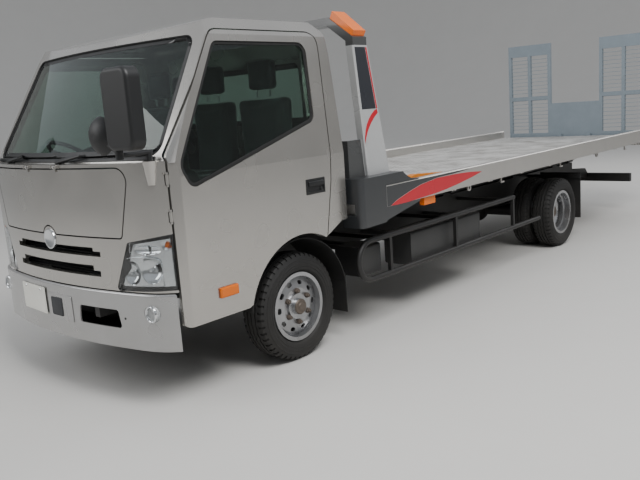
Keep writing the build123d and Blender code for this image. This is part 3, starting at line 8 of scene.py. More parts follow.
# %% Load the frame
import bpy
import bmesh
from math import atan2, cos, hypot, pi, radians, sin
from mathutils import Matrix, Vector


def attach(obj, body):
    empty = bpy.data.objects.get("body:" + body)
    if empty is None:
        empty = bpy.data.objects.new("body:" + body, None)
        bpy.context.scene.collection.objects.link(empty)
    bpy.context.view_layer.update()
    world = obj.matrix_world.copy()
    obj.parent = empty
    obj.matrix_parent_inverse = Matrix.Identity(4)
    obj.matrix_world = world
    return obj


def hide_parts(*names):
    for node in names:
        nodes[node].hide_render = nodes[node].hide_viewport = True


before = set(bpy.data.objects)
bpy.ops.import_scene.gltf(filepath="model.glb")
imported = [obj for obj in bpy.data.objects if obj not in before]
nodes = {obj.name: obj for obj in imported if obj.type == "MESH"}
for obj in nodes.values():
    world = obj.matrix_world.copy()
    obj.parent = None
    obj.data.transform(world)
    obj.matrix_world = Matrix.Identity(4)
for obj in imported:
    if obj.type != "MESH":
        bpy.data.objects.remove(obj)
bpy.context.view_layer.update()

# %% [markdown]
# Every place on the truck is given as X, station and height in millimetres. Blender works in
# metres from the middle of the truck, so one small function turns the one into the other.

# %% Places in millimetres
FRONT_AXLE = -2730
WHEELBASE = 3870


def at(x, station, z):
    return Vector((x, station + FRONT_AXLE, z)) / 1000


print("front axle at", at(0, 0, 0))

# %% [markdown]
# ## The camera
# The photograph was taken from the front left, at about eye height. The camera's place, aim
# and focal length were worked out from the wheels, the rails and the windscreen.
# A camera looks along its own -Z, so its turned axes can be written straight into its matrix.

# %% Camera at the photograph's place
CAMERA_PLACE = (4009.9, -3189.1, 1591.9)
YAW, PITCH, ROLL = 0.7341, 0.1843, -0.0725
FOCAL_PIXELS = 722.8
PHOTO_WIDTH = 640
SENSOR_WIDTH = 36
camera_data = bpy.data.cameras.new("photo_camera")
camera_data.sensor_width = SENSOR_WIDTH
camera_data.lens = FOCAL_PIXELS / PHOTO_WIDTH * SENSOR_WIDTH
camera_data.clip_end = 100
camera = bpy.data.objects.new("photo_camera", camera_data)
bpy.context.scene.collection.objects.link(camera)
ahead = Vector((-sin(YAW), cos(YAW), 0))
right = Vector((cos(YAW), sin(YAW), 0))
up = Vector((0, 0, 1))
aim = ahead * cos(PITCH) - up * sin(PITCH)
tall = ahead * sin(PITCH) + up * cos(PITCH)
across = right * cos(ROLL) + tall * sin(ROLL)
tall = tall * cos(ROLL) - right * sin(ROLL)
axes = Matrix((across, tall, -aim)).transposed().to_4x4()
camera.matrix_world = Matrix.Translation(at(*CAMERA_PLACE)) @ axes
bpy.context.scene.camera = camera
print("lens", round(camera_data.lens, 2), "mm")

# %% [markdown]
# ## Colours and nodes
# Colours are written as sRGB hex, as a paint chart gives them, and one function turns them to
# the linear values that shaders work in. A second small function adds a shader node and fills
# its inputs. A value is set, and a socket, or another node's live output, is linked.

# %% Helpers for materials
RGBA = {"data_type": "RGBA"}
MULTIPLY = {"operation": "MULTIPLY"}
MORE_THAN = {"operation": "GREATER_THAN"}
DOT = {"operation": "DOT_PRODUCT"}
finishes = {}


def colour(code, share=1.0):
    parts = [int(code[i:i + 2], 16) / 255 for i in (1, 3, 5)]
    linear = [p / 12.92 if p <= 0.04045 else ((p + 0.055) / 1.055) ** 2.4 for p in parts]
    return (*[min(1.0, c * share) for c in linear], 1.0)


def fill(node, **inputs):
    """Fill a node's inputs, each given by its name, or by its number after an n."""
    for name, value in inputs.items():
        key = int(name[1:]) if name[0] == "n" and name[1:].isdigit() else name.replace("_", " ")
        if isinstance(value, bpy.types.Node):
            value = next(socket for socket in value.outputs if socket.enabled)
        if isinstance(value, bpy.types.NodeSocket):
            node.id_data.links.new(value, node.inputs[key])
        else:
            node.inputs[key].default_value = value


def add_node(tree, kind, settings=None, **inputs):
    made = tree.nodes.new("ShaderNode" + kind)
    for name, value in (settings or {}).items():
        setattr(made, name, value)
    fill(made, **inputs)
    return made


def new_finish(name):
    """A new material's tree, its shader, and the place of each point on the truck."""
    finishes[name] = bpy.data.materials.new(name)
    finishes[name].use_nodes = True
    tree = finishes[name].node_tree
    return tree, tree.nodes["Principled BSDF"], add_node(tree, "TexCoord").outputs["Object"]


print("mid grey", [round(v, 3) for v in colour("#808080")])

# %% [markdown]
# ## Painted and coated surfaces
# Most of the truck is sheet steel under paint, or moulded plastic. All of them show the same
# things in different amounts: a colour that drifts a little from place to place, dust that
# gathers low down and fades upwards, a gloss that is uneven, and a skin that is not quite
# flat. One function sets these up from real sizes in millimetres, and each material below
# says what its own amounts are.

# %% A surface with drift, dust and an uneven skin


def surface(name, base, roughness, metallic=0.0, drift=0.04, patch=180.0, dust="#8A8378",
            dust_low=0.25, dust_top=900.0, grain=1.2, depth=0.02, coat=0.0):
    tree, shader, place = new_finish(name)
    patches = add_node(tree, "TexNoise", Vector=place, Scale=1000 / patch, Detail=4.0, Roughness=0.6)
    paint = add_node(tree, "Mix", RGBA, Factor=patches, n6=colour(base, 1 - drift * 2),
                     n7=colour(base, 1 + drift))
    height = add_node(tree, "SeparateXYZ", Vector=place)
    settled = add_node(tree, "MapRange", Value=height.outputs["Z"], n1=0.2, n2=dust_top / 1000,
                       n3=dust_low, n4=0.0)
    cloud = add_node(tree, "TexNoise", Vector=place, Scale=6.0, Detail=3.0, Roughness=0.5)
    spread = add_node(tree, "Math", MULTIPLY, n0=settled, n1=cloud)
    worn = add_node(tree, "Mix", RGBA, Factor=spread, n6=paint, n7=colour(dust))
    wiped = add_node(tree, "TexNoise", Vector=place, Scale=4.0, Detail=1.0)
    gloss = add_node(tree, "MapRange", Value=wiped, n1=0.3, n2=0.7, n3=max(0.03, roughness - 0.03),
                     n4=min(1.0, roughness + 0.05))
    skin = add_node(tree, "TexNoise", Vector=place, Scale=1000 / grain, Detail=2.0)
    bump = add_node(tree, "Bump", Strength=0.3, Distance=depth / 1000, Height=skin)
    fill(shader, Base_Color=worn, Roughness=gloss, Normal=bump, Metallic=metallic, IOR=1.5,
         Coat_Weight=coat, Coat_Roughness=0.05)
    return finishes[name]


# The cab is sprayed in silver: aluminium flakes under a clear lacquer.
surface("silver_metallic_paint", "#B3B0AB", 0.24, metallic=0.85, patch=420, grain=9.0, depth=0.003,
        coat=0.7, drift=0.02, dust_low=0.2, dust_top=1000)
# The bumper is plastic sprayed in the same silver, without the depth of the cab's lacquer.
surface("silver_bumper_paint", "#AFAFAF", 0.28, metallic=0.75, patch=300, grain=8.0, depth=0.004,
        coat=0.4, dust_low=0.45)
# Chassis rails and axles wear a thick black paint that dulls under road dirt.
surface("chassis_black_paint", "#131314", 0.5, drift=0.15, dust="#4A4640", dust_low=0.3, grain=6.0)
# Mirror shells, guards and the cowl are moulded in black plastic with a fine grain.
surface("black_moulded_plastic", "#141516", 0.45, drift=0.08, grain=3.0, dust_low=0.12)
# Wheels are sprayed in a plain silver.
surface("silver_wheel_paint", "#B0B1B3", 0.28, metallic=0.85, patch=90, drift=0.1, dust="#4F4A43",
        dust_low=0.6, dust_top=760, grain=7.0, depth=0.01, coat=0.2)
# Bed rails are extruded aluminium, left bare, pale and a little dull.
surface("bare_aluminium_rail", "#B9B6B1", 0.36, metallic=0.7, patch=260, grain=6.0, depth=0.006,
        dust_low=0.12)
# The gantry's top and the corner covers are dark grey enamel.
surface("dark_grey_enamel", "#292B2D", 0.34, patch=200, grain=8.0, depth=0.004, coat=0.35,
        dust_low=0.2)
# The ramps and the gate are a pale blue-grey paint.
surface("blue_grey_ramp_paint", "#7C878F", 0.46, metallic=0.15, patch=120, drift=0.08, dust_low=0.1,
        grain=6.0)
# Wheel guides are sprayed a strong amber.
surface("amber_paint", "#D07A0A", 0.42, patch=90, drift=0.06, dust_low=0.05, grain=6.0, depth=0.01)
# Ram rods and lamp bowls are chromium plated.
surface("bright_chrome", "#D9DBDD", 0.09, metallic=1.0, drift=0.01, depth=0.004, dust_low=0.1)
# The exhaust and the winch are bare steel with a brown bloom.
surface("bare_steel", "#6E6A64", 0.46, metallic=0.85, drift=0.2, patch=60, dust="#6B4A33",
        dust_low=0.5, dust_top=1300)
# Tanks, boxes and the engine wear a dark grey paint.
surface("grey_tank_paint", "#2A2B2C", 0.5, drift=0.1, dust="#56514A", dust_low=0.3, grain=6.0)
# Mud flaps and window seals are black rubber, matt and dusty.
surface("flap_rubber", "#101010", 0.75, drift=0.1, dust="#4A4640", dust_low=0.35, dust_top=700,
        grain=5.0, depth=0.05)
# The dashboard and the cab's trim are soft dark grey plastic.
surface("grey_trim_plastic", "#2E3033", 0.62, drift=0.05, dust_low=0.0, grain=1.4, depth=0.08)
# The stripes on the rails and posts are red vinyl film.
surface("red_stripe_film", "#B10A20", 0.3, drift=0.02, dust_low=0.0, coat=0.15, grain=9.0, depth=0.003)
# Hubs and wheel nuts are cast and forged iron that has rusted a little.
surface("rusted_hub_iron", "#6B625A", 0.5, metallic=0.6, drift=0.15, patch=30, dust="#4A3A2E",
        dust_low=0.5, grain=4.0, depth=0.05)
print("finishes", len(finishes))

# %% [markdown]
# ## Rubber, glass and lenses
# Tyre rubber is a very dark grey that dust turns brownish. Window glass on a truck like this
# has a faint green tint. Real glass lets light through and bends it, so it is made with
# transmission and an index of refraction near that of glass and acrylic. Lamp lenses are
# acrylic or polycarbonate, clear, amber or red right through.

# %% Tyre rubber and clear materials
CLEAR_IOR = 1.45
surface("tyre_rubber", "#121212", 0.68, drift=0.15, patch=60, dust="#4A453E", dust_low=0.28,
        dust_top=800, grain=5.0, depth=0.04)


def clear(name, tint, roughness, through=1.0):
    tree, shader, place = new_finish(name)
    patches = add_node(tree, "TexNoise", Vector=place, Scale=3.0, Detail=1.0)
    tone = add_node(tree, "Mix", RGBA, Factor=patches, n6=colour(tint), n7=colour(tint, 0.9))
    haze = add_node(tree, "MapRange", Value=patches, n1=0.4, n2=0.8, n3=roughness, n4=roughness * 2)
    fill(shader, Base_Color=tone, Roughness=haze, IOR=CLEAR_IOR, Transmission_Weight=through)
    return finishes[name]


clear("green_tinted_glass", "#A9BDB4", 0.002)
clear("clear_polycarbonate", "#F2F4F4", 0.02)
clear("amber_acrylic", "#FF7F0A", 0.14, 0.3)
print("clear materials", 3)

# %% [markdown]
# The lamps on the chassis are one frame piece: the fog lamps in the bumper are clear, and in
# each tail cluster the reversing lamp is clear, the stop lamp red and the indicator amber. The
# colour is chosen by place: the station first, then the distance from the middle.

# %% Chassis lamps coloured by their place
CLEAR_LENS = "#F2F4F4"
STOP_LAMP_X, INDICATOR_X = 0.7025, 0.7925      # where each begins, in metres from the middle
lamps = clear("tail_lamp_acrylic", CLEAR_LENS, 0.08, 0.7)
tree = lamps.node_tree
place = add_node(tree, "SeparateXYZ", Vector=add_node(tree, "TexCoord").outputs["Object"])
from_middle = add_node(tree, "Math", {"operation": "ABSOLUTE"}, n0=place.outputs["X"])
is_red = add_node(tree, "Math", MORE_THAN, n0=from_middle, n1=STOP_LAMP_X)
is_amber = add_node(tree, "Math", MORE_THAN, n0=from_middle, n1=INDICATOR_X)
red_zone = add_node(tree, "Mix", RGBA, Factor=is_red, n6=colour(CLEAR_LENS), n7=colour("#B01812"))
all_zones = add_node(tree, "Mix", RGBA, Factor=is_amber, n6=red_zone, n7=colour("#F08A1C"))
at_tail = add_node(tree, "Math", MORE_THAN, n0=place.outputs["Y"], n1=0.0)
by_end = add_node(tree, "Mix", RGBA, Factor=at_tail, n6=colour(CLEAR_LENS), n7=all_zones)
fill(tree.nodes["Principled BSDF"], Base_Color=by_end)
print("lamp colours by place")

# %% [markdown]
# ## Checker plate
# The deck is rolled steel plate with raised lozenges that turn through a right angle from one
# to the next. Real ones are 25 mm long on a 30 mm pitch; here the pitch is 46 mm so that they
# still show from the camera. A cell's parity picks which way its lozenge lies. The tops are
# rubbed bright, and stains drift over the hollows.

# %% Checker plate of bright steel
LOZENGE_PITCH = 46
HALF_LENGTH, HALF_WIDTH = 0.46, 0.13      # a lozenge's, as shares of the pitch
SLANT = 0.7071                            # each part of a unit step along a diagonal
tree, shader, place = new_finish("checker_plate_steel")
cells = add_node(tree, "VectorMath", MULTIPLY, n0=place,
                 n1=(1000 / LOZENGE_PITCH, 1000 / LOZENGE_PITCH, 0.0))
cell = add_node(tree, "VectorMath", {"operation": "FLOOR"}, n0=cells)
cell_sum = add_node(tree, "VectorMath", DOT, n0=cell, n1=(1.0, 1.0, 0.0))
parity = add_node(tree, "Math", {"operation": "FLOORED_MODULO"}, n0=cell_sum, n1=2.0)
from_corner = add_node(tree, "VectorMath", {"operation": "FRACTION"}, n0=cells)
inside = add_node(tree, "VectorMath", {"operation": "SUBTRACT"}, n0=from_corner, n1=(0.5, 0.5, 0.0))
one_way = add_node(tree, "VectorMath", DOT, n0=inside, n1=(SLANT, SLANT, 0.0))
other_way = add_node(tree, "VectorMath", DOT, n0=inside, n1=(SLANT, -SLANT, 0.0))
along = add_node(tree, "Mix", {"data_type": "FLOAT"}, Factor=parity, n2=one_way, n3=other_way)
beside = add_node(tree, "Mix", {"data_type": "FLOAT"}, Factor=parity, n2=other_way, n3=one_way)
along_share = add_node(tree, "Math", MULTIPLY, n0=along, n1=1 / HALF_LENGTH)
beside_share = add_node(tree, "Math", MULTIPLY, n0=beside, n1=1 / HALF_WIDTH)
stretched = add_node(tree, "CombineXYZ", X=along_share, Y=beside_share)
reach = add_node(tree, "VectorMath", {"operation": "LENGTH"}, n0=stretched)
lozenge = add_node(tree, "MapRange", {"interpolation_type": "SMOOTHSTEP"}, Value=reach,
                   n1=1.05, n2=0.65, n3=0.0, n4=1.0)
grime = add_node(tree, "TexNoise", Vector=place, Scale=3.2, Detail=8.0, Roughness=0.68)
stain = add_node(tree, "MapRange", Value=grime, n1=0.42, n2=0.62, n3=0.0, n4=1.0)
steel_tone = add_node(tree, "Mix", RGBA, Factor=stain, n6=colour("#C6C4C0"), n7=colour("#8E8A84"))
rubbed = add_node(tree, "Mix", RGBA, Factor=lozenge, n6=steel_tone, n7=colour("#F3F1EE"))
gloss = add_node(tree, "MapRange", Value=lozenge, n1=0.0, n2=1.0, n3=0.55, n4=0.3)
raised = add_node(tree, "Bump", Strength=0.8, Distance=0.003, Height=lozenge)
fill(shader, Base_Color=rubbed, Roughness=gloss, Normal=raised, Metallic=0.35)
print("lozenges each", LOZENGE_PITCH, "mm")

# %% [markdown]
# ## Seat cloth
# The seats wear a grey plain-weave cloth. Threads a real millimetre wide are too fine to show
# through the windscreen, so they are drawn at 8 mm. Two sets of waves at right angles give the
# over and under of the weave, and a soft sheen stands for the fuzz of the yarn.

# %% Woven cloth
THREAD = 8
WAVE_SCALE = 1000 / THREAD / 20 * pi
tree, shader, place = new_finish("grey_woven_cloth")
warp, weft = [add_node(tree, "TexWave", {"bands_direction": way}, Vector=place, Scale=WAVE_SCALE,
                       Distortion=0.6, Detail=2.0) for way in "XZ"]
weave = add_node(tree, "Math", MULTIPLY, n0=warp.outputs["Fac"], n1=weft.outputs["Fac"])
fading = add_node(tree, "TexNoise", Vector=place, Scale=7.0, Detail=4.0)
yarn = add_node(tree, "Mix", RGBA, Factor=fading, n6=colour("#55585C"), n7=colour("#6E7276"))
thread_tone = add_node(tree, "Mix", RGBA, Factor=weave, n6=colour("#55585C", 0.75), n7=yarn)
lift = add_node(tree, "Bump", Strength=0.3, Distance=0.0008, Height=weave)
fill(shader, Base_Color=thread_tone, Normal=lift, Roughness=0.9, Sheen_Weight=0.35,
     Sheen_Roughness=0.4)
print("threads each", THREAD, "mm")

# %% [markdown]
# ## Every frame piece gets its finish
# The shapes of the frame stay as they are. Only the material in each piece's slots changes.

# %% Which piece wears what
WEARS = {
    "silver_metallic_paint": "cab_shell door_left door_right service_lid grille",
    "silver_bumper_paint": "front_bumper",
    "chassis_black_paint": "frame front_axle rear_axle knuckle_left knuckle_right tie_rod tilt_frame "
                           "tilt_barrels rear_bumper side_guards gate_hinge",
    "black_moulded_plastic": "mirrors",
    "silver_wheel_paint": "rim_front_left rim_front_right rim_rear_left rim_rear_right",
    "tyre_rubber": "tyre_front_left tyre_front_right tyre_rear_left tyre_rear_right",
    "green_tinted_glass": "cab_glass door_glass_left door_glass_right",
    "clear_polycarbonate": "headlights",
    "tail_lamp_acrylic": "chassis_lamps",
    "amber_acrylic": "bed_lamps",
    "bare_aluminium_rail": "side_rails",
    "dark_grey_enamel": "corner_covers gantry",
    "blue_grey_ramp_paint": "ramps gate_panel",
    "amber_paint": "wheel_guides",
    "bright_chrome": "tilt_rods",
    "bare_steel": "exhaust winch",
    "grey_tank_paint": "driveline tanks_and_boxes",
    "flap_rubber": "mud_flaps",
    "grey_trim_plastic": "dashboard cab_floor steering_wheel",
    "checker_plate_steel": "deck",
    "grey_woven_cloth": "seats",
}
dressed = 0
for finish, names in WEARS.items():
    for name in names.split():
        for held in nodes[name].material_slots:
            held.material = finishes[finish]
        dressed += 1
print("frame pieces dressed", dressed, "of", len(nodes))

# %% [markdown]
# ## Floor and light
# A pale floor sweeps up far away, as a studio's does, so that no horizon shows. A large soft
# panel hangs high on the left, with a weaker one at the front right and another behind, all
# under an even sky.

# %% Floor, in metres
FLOOR_SIZE, WALL_HEIGHT, SWEEP_WIDTH = 60, 12, 11
bpy.ops.mesh.primitive_plane_add(size=FLOOR_SIZE, location=(0, 0, 0))
floor = bpy.context.active_object
floor.name = "floor"
bpy.ops.object.mode_set(mode="EDIT")
bpy.ops.mesh.select_mode(type="EDGE")
bpy.ops.mesh.select_all(action="SELECT")
bpy.ops.mesh.extrude_edges_move(TRANSFORM_OT_translate={"value": (0, 0, WALL_HEIGHT)})
bpy.ops.object.mode_set(mode="OBJECT")
sweep_up = floor.modifiers.new("sweep", "BEVEL")
sweep_up.width = SWEEP_WIDTH
sweep_up.segments = 10
bpy.ops.object.modifier_apply(modifier="sweep")
bpy.ops.object.shade_smooth()
pale_paint = surface("pale_floor_paint", "#C9C7C3", 0.7, drift=0.02, patch=900, dust_low=0.0, grain=4.0)
floor.data.materials.append(pale_paint)
print("floor faces", len(floor.data.polygons))

# %% Sky and panels
world = bpy.data.worlds.new("even_sky")
world.use_nodes = True
fill(world.node_tree.nodes["Background"], Color=colour("#E4E8EE"), Strength=0.7)
bpy.context.scene.world = world
PANELS = (
    # name, place, size in metres, power in watts
    ("key_panel", (5.5, -4.0, 7.5), 4.0, 800),
    ("front_panel", (-4.5, -9.0, 5.0), 5.0, 260),
    ("back_panel", (2.0, 9.0, 6.0), 5.0, 260),
)
LIT_POINT = Vector((0, -0.5, 1.0))
for name, place, size, power in PANELS:
    panel_data = bpy.data.lights.new(name, "AREA")
    panel_data.size = size
    panel_data.energy = power
    panel = bpy.data.objects.new(name, panel_data)
    panel.location = place
    panel.rotation_euler = (LIT_POINT - Vector(place)).to_track_quat("-Z", "Y").to_euler()
    bpy.context.scene.collection.objects.link(panel)
print("panels", len(PANELS))

# %% [markdown]
# ## Drawing a section
# Turned and bent parts begin as an outline. A plane is added and merged to one vertex, and the
# vertex is then extruded from point to point, as a section is drawn by hand. A turned part is
# such a section spun once round its axis. Blocks begin as a cube with its edges rounded. The
# other helpers copy, mirror and join pieces, and give each its finish and the body it rides.

# %% Helpers for making and finishing a piece
MERGE = 0.00005      # points nearer than this, in metres, become one


def only(made):
    if bpy.context.mode != "OBJECT":
        bpy.ops.object.mode_set(mode="OBJECT")
    bpy.ops.object.select_all(action="DESELECT")
    made.select_set(True)
    bpy.context.view_layer.objects.active = made


def outline(name, points):
    if bpy.context.mode != "OBJECT":
        bpy.ops.object.mode_set(mode="OBJECT")
    bpy.ops.object.select_all(action="DESELECT")
    bpy.ops.mesh.primitive_plane_add(size=0.001, location=points[0])
    made = bpy.context.active_object
    made.name = made.data.name = name
    bpy.ops.object.mode_set(mode="EDIT")
    bpy.ops.mesh.select_mode(type="VERT")
    bpy.ops.mesh.select_all(action="SELECT")
    bpy.ops.mesh.merge(type="CENTER")
    for here, there in zip(points, points[1:]):
        bpy.ops.mesh.extrude_vertices_move(TRANSFORM_OT_translate={"value": there - here})
    bpy.ops.mesh.select_all(action="SELECT")
    return made


def close_up(made, smooth=30):
    """Merge doubles, turn the faces outwards and put the place into the mesh."""
    if bpy.context.mode != "EDIT_MESH":
        only(made)
        bpy.ops.object.mode_set(mode="EDIT")
    bpy.ops.mesh.select_all(action="SELECT")
    bpy.ops.mesh.remove_doubles(threshold=MERGE)
    bpy.ops.mesh.normals_make_consistent(inside=False)
    only(made)
    bpy.ops.object.transform_apply(location=True, rotation=True, scale=True)
    bpy.ops.object.shade_smooth_by_angle(angle=radians(smooth))


def turned(name, points, steps, centre, axis=(0, 1, 0), smooth=35):
    """An outline spun once round an axis through a place."""
    made = outline(name, points)
    bpy.ops.mesh.spin(steps=steps, angle=2 * pi, center=centre, axis=axis)
    close_up(made, smooth)
    return made


def rounded_block(name, x, station, z, rounding=0, segments=3, lean=0):
    """A box between two X, two stations and two heights, left in edit mode."""
    bpy.ops.object.select_all(action="DESELECT")
    bpy.ops.mesh.primitive_cube_add(size=1, location=at(sum(x) / 2, sum(station) / 2, sum(z) / 2),
                                    rotation=(radians(lean), 0, 0))
    made = bpy.context.active_object
    made.name = made.data.name = name
    made.scale = ((x[1] - x[0]) / 1000, (station[1] - station[0]) / 1000, (z[1] - z[0]) / 1000)
    bpy.ops.object.transform_apply(location=True, rotation=True, scale=True)
    bpy.ops.object.mode_set(mode="EDIT")
    if rounding:
        bpy.ops.mesh.select_all(action="SELECT")
        bpy.ops.mesh.bevel(offset=rounding / 1000, segments=segments, affect="EDGES")
    return made


def settle(made, body, finish, slot_name, *stands_for):
    made.data.materials.clear()
    made.data.materials.append(finishes[finish])
    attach(made, body)
    if stands_for:
        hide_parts(*stands_for)


def pick_faces(made, wanted):
    """In edit mode, select the faces whose middle and normal pass the test."""
    bpy.ops.mesh.select_mode(type="FACE")
    bpy.ops.mesh.select_all(action="DESELECT")
    mesh = bmesh.from_edit_mesh(made.data)
    place = made.matrix_world
    for face in mesh.faces:
        face.select_set(bool(wanted(place @ face.calc_center_median(), face.normal)))
    mesh.select_flush_mode()
    bmesh.update_edit_mesh(made.data)


def twin(made, name, shift=(0, 0, 0), mirrored=False):
    """A copy with its own mesh, moved, or mirrored to the other side of the truck."""
    only(made)
    bpy.ops.object.duplicate()
    copy = bpy.context.active_object
    copy.name = copy.data.name = name
    copy.parent = None
    copy.matrix_world = Matrix.Identity(4)
    bpy.ops.object.mode_set(mode="EDIT")
    bpy.ops.mesh.select_all(action="SELECT")
    if mirrored:
        bpy.ops.transform.mirror(constraint_axis=(True, False, False), center_override=(0, 0, 0))
        bpy.ops.mesh.flip_normals()
    bpy.ops.transform.translate(value=Vector(shift))
    bpy.ops.object.mode_set(mode="OBJECT")
    return copy


def settle_pair(made, body, finish, slot_name):
    """Settle a piece of the left side, and its mirror image on the right."""
    other = twin(made, made.name.replace("left", "right"), mirrored=True)
    settle(made, body, finish, slot_name)
    settle(other, body.replace("left", "right"), finish, slot_name)


def joined(made, others, name):
    only(made)
    for other in others:
        other.select_set(True)
    bpy.ops.object.join()
    made.name = made.data.name = name
    return made


print("helpers ready")

# %% [markdown]
# ## Tyres
# The tyres are radials for light trucks, with three grooves round the tread, blocks cut across
# the shoulders, and fine raised rings on the wall. They could be sculpted from a torus, but a
# real tyre is a section turned about the axle, so this one is too: the section is drawn with
# its grooves and rings, and spun. The cuts across the shoulders are faces chosen by their
# angle and pushed inwards.

# %% The section of a tyre
TYRE_RADIUS = 346.5
FRONT_TYRE_X = 835
TREAD_STEPS = 144
TYRE_SECTION = (
    # distance from the middle plane, radius
    (69.5, 204), (69.5, 222.5), (88.5, 234.5), (91, 240), (93.5, 243), (95, 240.5), (97.5, 250),
    (99.4, 258), (101.3, 259), (101.4, 262), (99.9, 263), (101.2, 276), (102.4, 277), (102.4, 280),
    (101.1, 281), (98.5, 298), (99.6, 300), (98.9, 303), (96, 304.5), (91, 315), (87.5, 322), (83, 331),
    (77, 338), (66, 341.8), (52, 343.6), (38, 344.9), (36, 334.5), (29, 334.5), (27, 345.3),
    (14, 346.2), (4.2, 346.5), (3, 336), (0, 336),
)
half = [at(FRONT_TYRE_X + x, 0, TYRE_RADIUS + r) for x, r in TYRE_SECTION]
other_half = [at(FRONT_TYRE_X - x, 0, TYRE_RADIUS + r) for x, r in reversed(TYRE_SECTION[:-1])]
tyre = outline("tyre_of_front_left", half + other_half)
print("points in the section", len(half) + len(other_half))

# %% Spin it and cut the shoulders
SHOULDER = (52, 86)          # how far from the middle plane the cuts run
SHOULDER_FLOOR = 324         # and the radius above which a face belongs to them
CUT_DEPTH = 0.007
WEAVE = 0.0022
axle = at(FRONT_TYRE_X, 0, TYRE_RADIUS)
bpy.ops.mesh.spin(steps=TREAD_STEPS, angle=2 * pi, center=axle, axis=(1, 0, 0))
bpy.ops.mesh.select_all(action="SELECT")
bpy.ops.mesh.remove_doubles(threshold=MERGE)
bpy.ops.mesh.normals_make_consistent(inside=False)


def on_tyre(place):
    """A place's distance from the middle plane, its radius, and its step round the axle."""
    turn = atan2(place.z - axle.z, place.y - axle.y) / (2 * pi) * TREAD_STEPS
    return (place.x - axle.x) * 1000, hypot(place.y - axle.y, place.z - axle.z) * 1000, turn


def in_shoulder(place, normal):
    from_plane, radius, turn = on_tyre(place)
    in_reach = SHOULDER[0] < abs(from_plane) < SHOULDER[1] and radius > SHOULDER_FLOOR
    return in_reach and int(turn + TREAD_STEPS) % TREAD_STEPS % 3 == 0


pick_faces(tyre, in_shoulder)
bpy.ops.mesh.extrude_region_shrink_fatten(TRANSFORM_OT_shrink_fatten={"value": -CUT_DEPTH})
# The walls of the grooves weave from side to side, as on most truck tyres.
mesh = bmesh.from_edit_mesh(tyre.data)
woven = 0
for vertex in mesh.verts:
    from_plane, radius, turn = on_tyre(tyre.matrix_world @ vertex.co)
    if 2 < abs(from_plane) < 40 and radius > 333:
        vertex.co.x += WEAVE if round(turn) % 4 < 2 else -WEAVE
        woven += 1
bmesh.update_edit_mesh(tyre.data)
close_up(tyre, 28)
settle(tyre, "wheel_front_left", "tyre_rubber", "tyre", "tyre_front_left")
print("groove points moved", woven, "faces", len(tyre.data.polygons))

# %% The other five tyres
BACK_TO_REAR = WHEELBASE / 1000
tyre_right = twin(tyre, "tyre_of_front_right", (-2 * FRONT_TYRE_X / 1000, 0, 0))
settle(tyre_right, "wheel_front_right", "tyre_rubber", "tyre", "tyre_front_right")
# For each side, how far the copies for the outer and the inner tyre move across, in metres.
for side_name, outer, inner in (("left", 0.067, -0.168), ("right", -1.737, -1.502)):
    first = twin(tyre, "outer_tyre", (outer, BACK_TO_REAR, 0))
    second = twin(tyre, "inner_tyre", (inner, BACK_TO_REAR, 0))
    pair = joined(first, [second], "tyres_of_rear_" + side_name)
    settle(pair, "wheels_rear_" + side_name, "tyre_rubber", "tyre", "tyre_rear_" + side_name)
print("tyres done")

# %% [markdown]
# ## Wheel nuts and hub caps
# Six nuts hold each wheel. A nut is a six-sided cylinder with a rounded top, and the end of
# its stud stands out of it. On the hub sits a pressed cap with a flat raised middle.

# %% One nut with its stud
NUT_CIRCLE = 101
NUT_FACE = 895
bpy.ops.object.select_all(action="DESELECT")
bpy.ops.mesh.primitive_cylinder_add(vertices=6, radius=0.0175, depth=0.020, rotation=(0, pi / 2, 0),
                                    location=at(NUT_FACE + 10, 0, TYRE_RADIUS))
nut = bpy.context.active_object
nut.name = nut.data.name = "nut"
bpy.ops.object.transform_apply(location=True, rotation=True, scale=True)
bpy.ops.object.mode_set(mode="EDIT")
pick_faces(nut, lambda place, normal: normal.x > 0.9)
bpy.ops.mesh.bevel(offset=0.003, segments=2, affect="EDGES")
pick_faces(nut, lambda place, normal: normal.x > 0.9)
bpy.ops.mesh.inset(thickness=0.0045)
bpy.ops.mesh.extrude_region_move(TRANSFORM_OT_translate={"value": (0.008, 0, 0)})
bpy.ops.mesh.inset(thickness=0.002, depth=0.0015)
close_up(nut, 25)
print("nut faces", len(nut.data.polygons))

# %% Six nuts on each wheel, and the caps
CAP_SECTION = ((0, 50), (3, 50), (9, 46), (11, 40), (11, 27), (14, 24), (14, 0))
WHEEL_SPOTS = (
    # body, side, station, face the nuts sit on, end of the hub, cap radius as a share
    ("wheel_front_left", 1, 0, NUT_FACE, 925, 1.0),
    ("wheel_front_right", -1, 0, NUT_FACE, 925, 1.0),
    ("wheels_rear_left", 1, WHEELBASE, 794.5, 885, 1.35),
    ("wheels_rear_right", -1, WHEELBASE, 794.5, 885, 1.35),
)
for body, side_of, station, nut_face, hub_end, share in WHEEL_SPOTS:
    nuts = []
    for place in range(6):
        angle = place * pi / 3 + pi / 6
        spot = (nut_face - NUT_FACE, station + cos(angle) * NUT_CIRCLE, sin(angle) * NUT_CIRCLE)
        nuts.append(twin(nut, "nut_copy", Vector(spot) / 1000))
    ring_of_nuts = joined(nuts[0], nuts[1:], "nuts_of_" + body)
    section = [at(hub_end - 1 + x * share, station, TYRE_RADIUS + r * share) for x, r in CAP_SECTION]
    cap = turned("cap_of_" + body, section, 48, at(hub_end, station, TYRE_RADIUS), (1, 0, 0), 28)
    made = joined(ring_of_nuts, [cap], "nuts_and_cap_of_" + body)
    if side_of < 0:
        flipped = twin(made, made.name + "_mirrored", mirrored=True)
        bpy.data.objects.remove(made)
        made = flipped
    settle(made, body, "rusted_hub_iron", "wheel_paint")
bpy.data.objects.remove(nut)
print("wheels dressed", len(WHEEL_SPOTS))

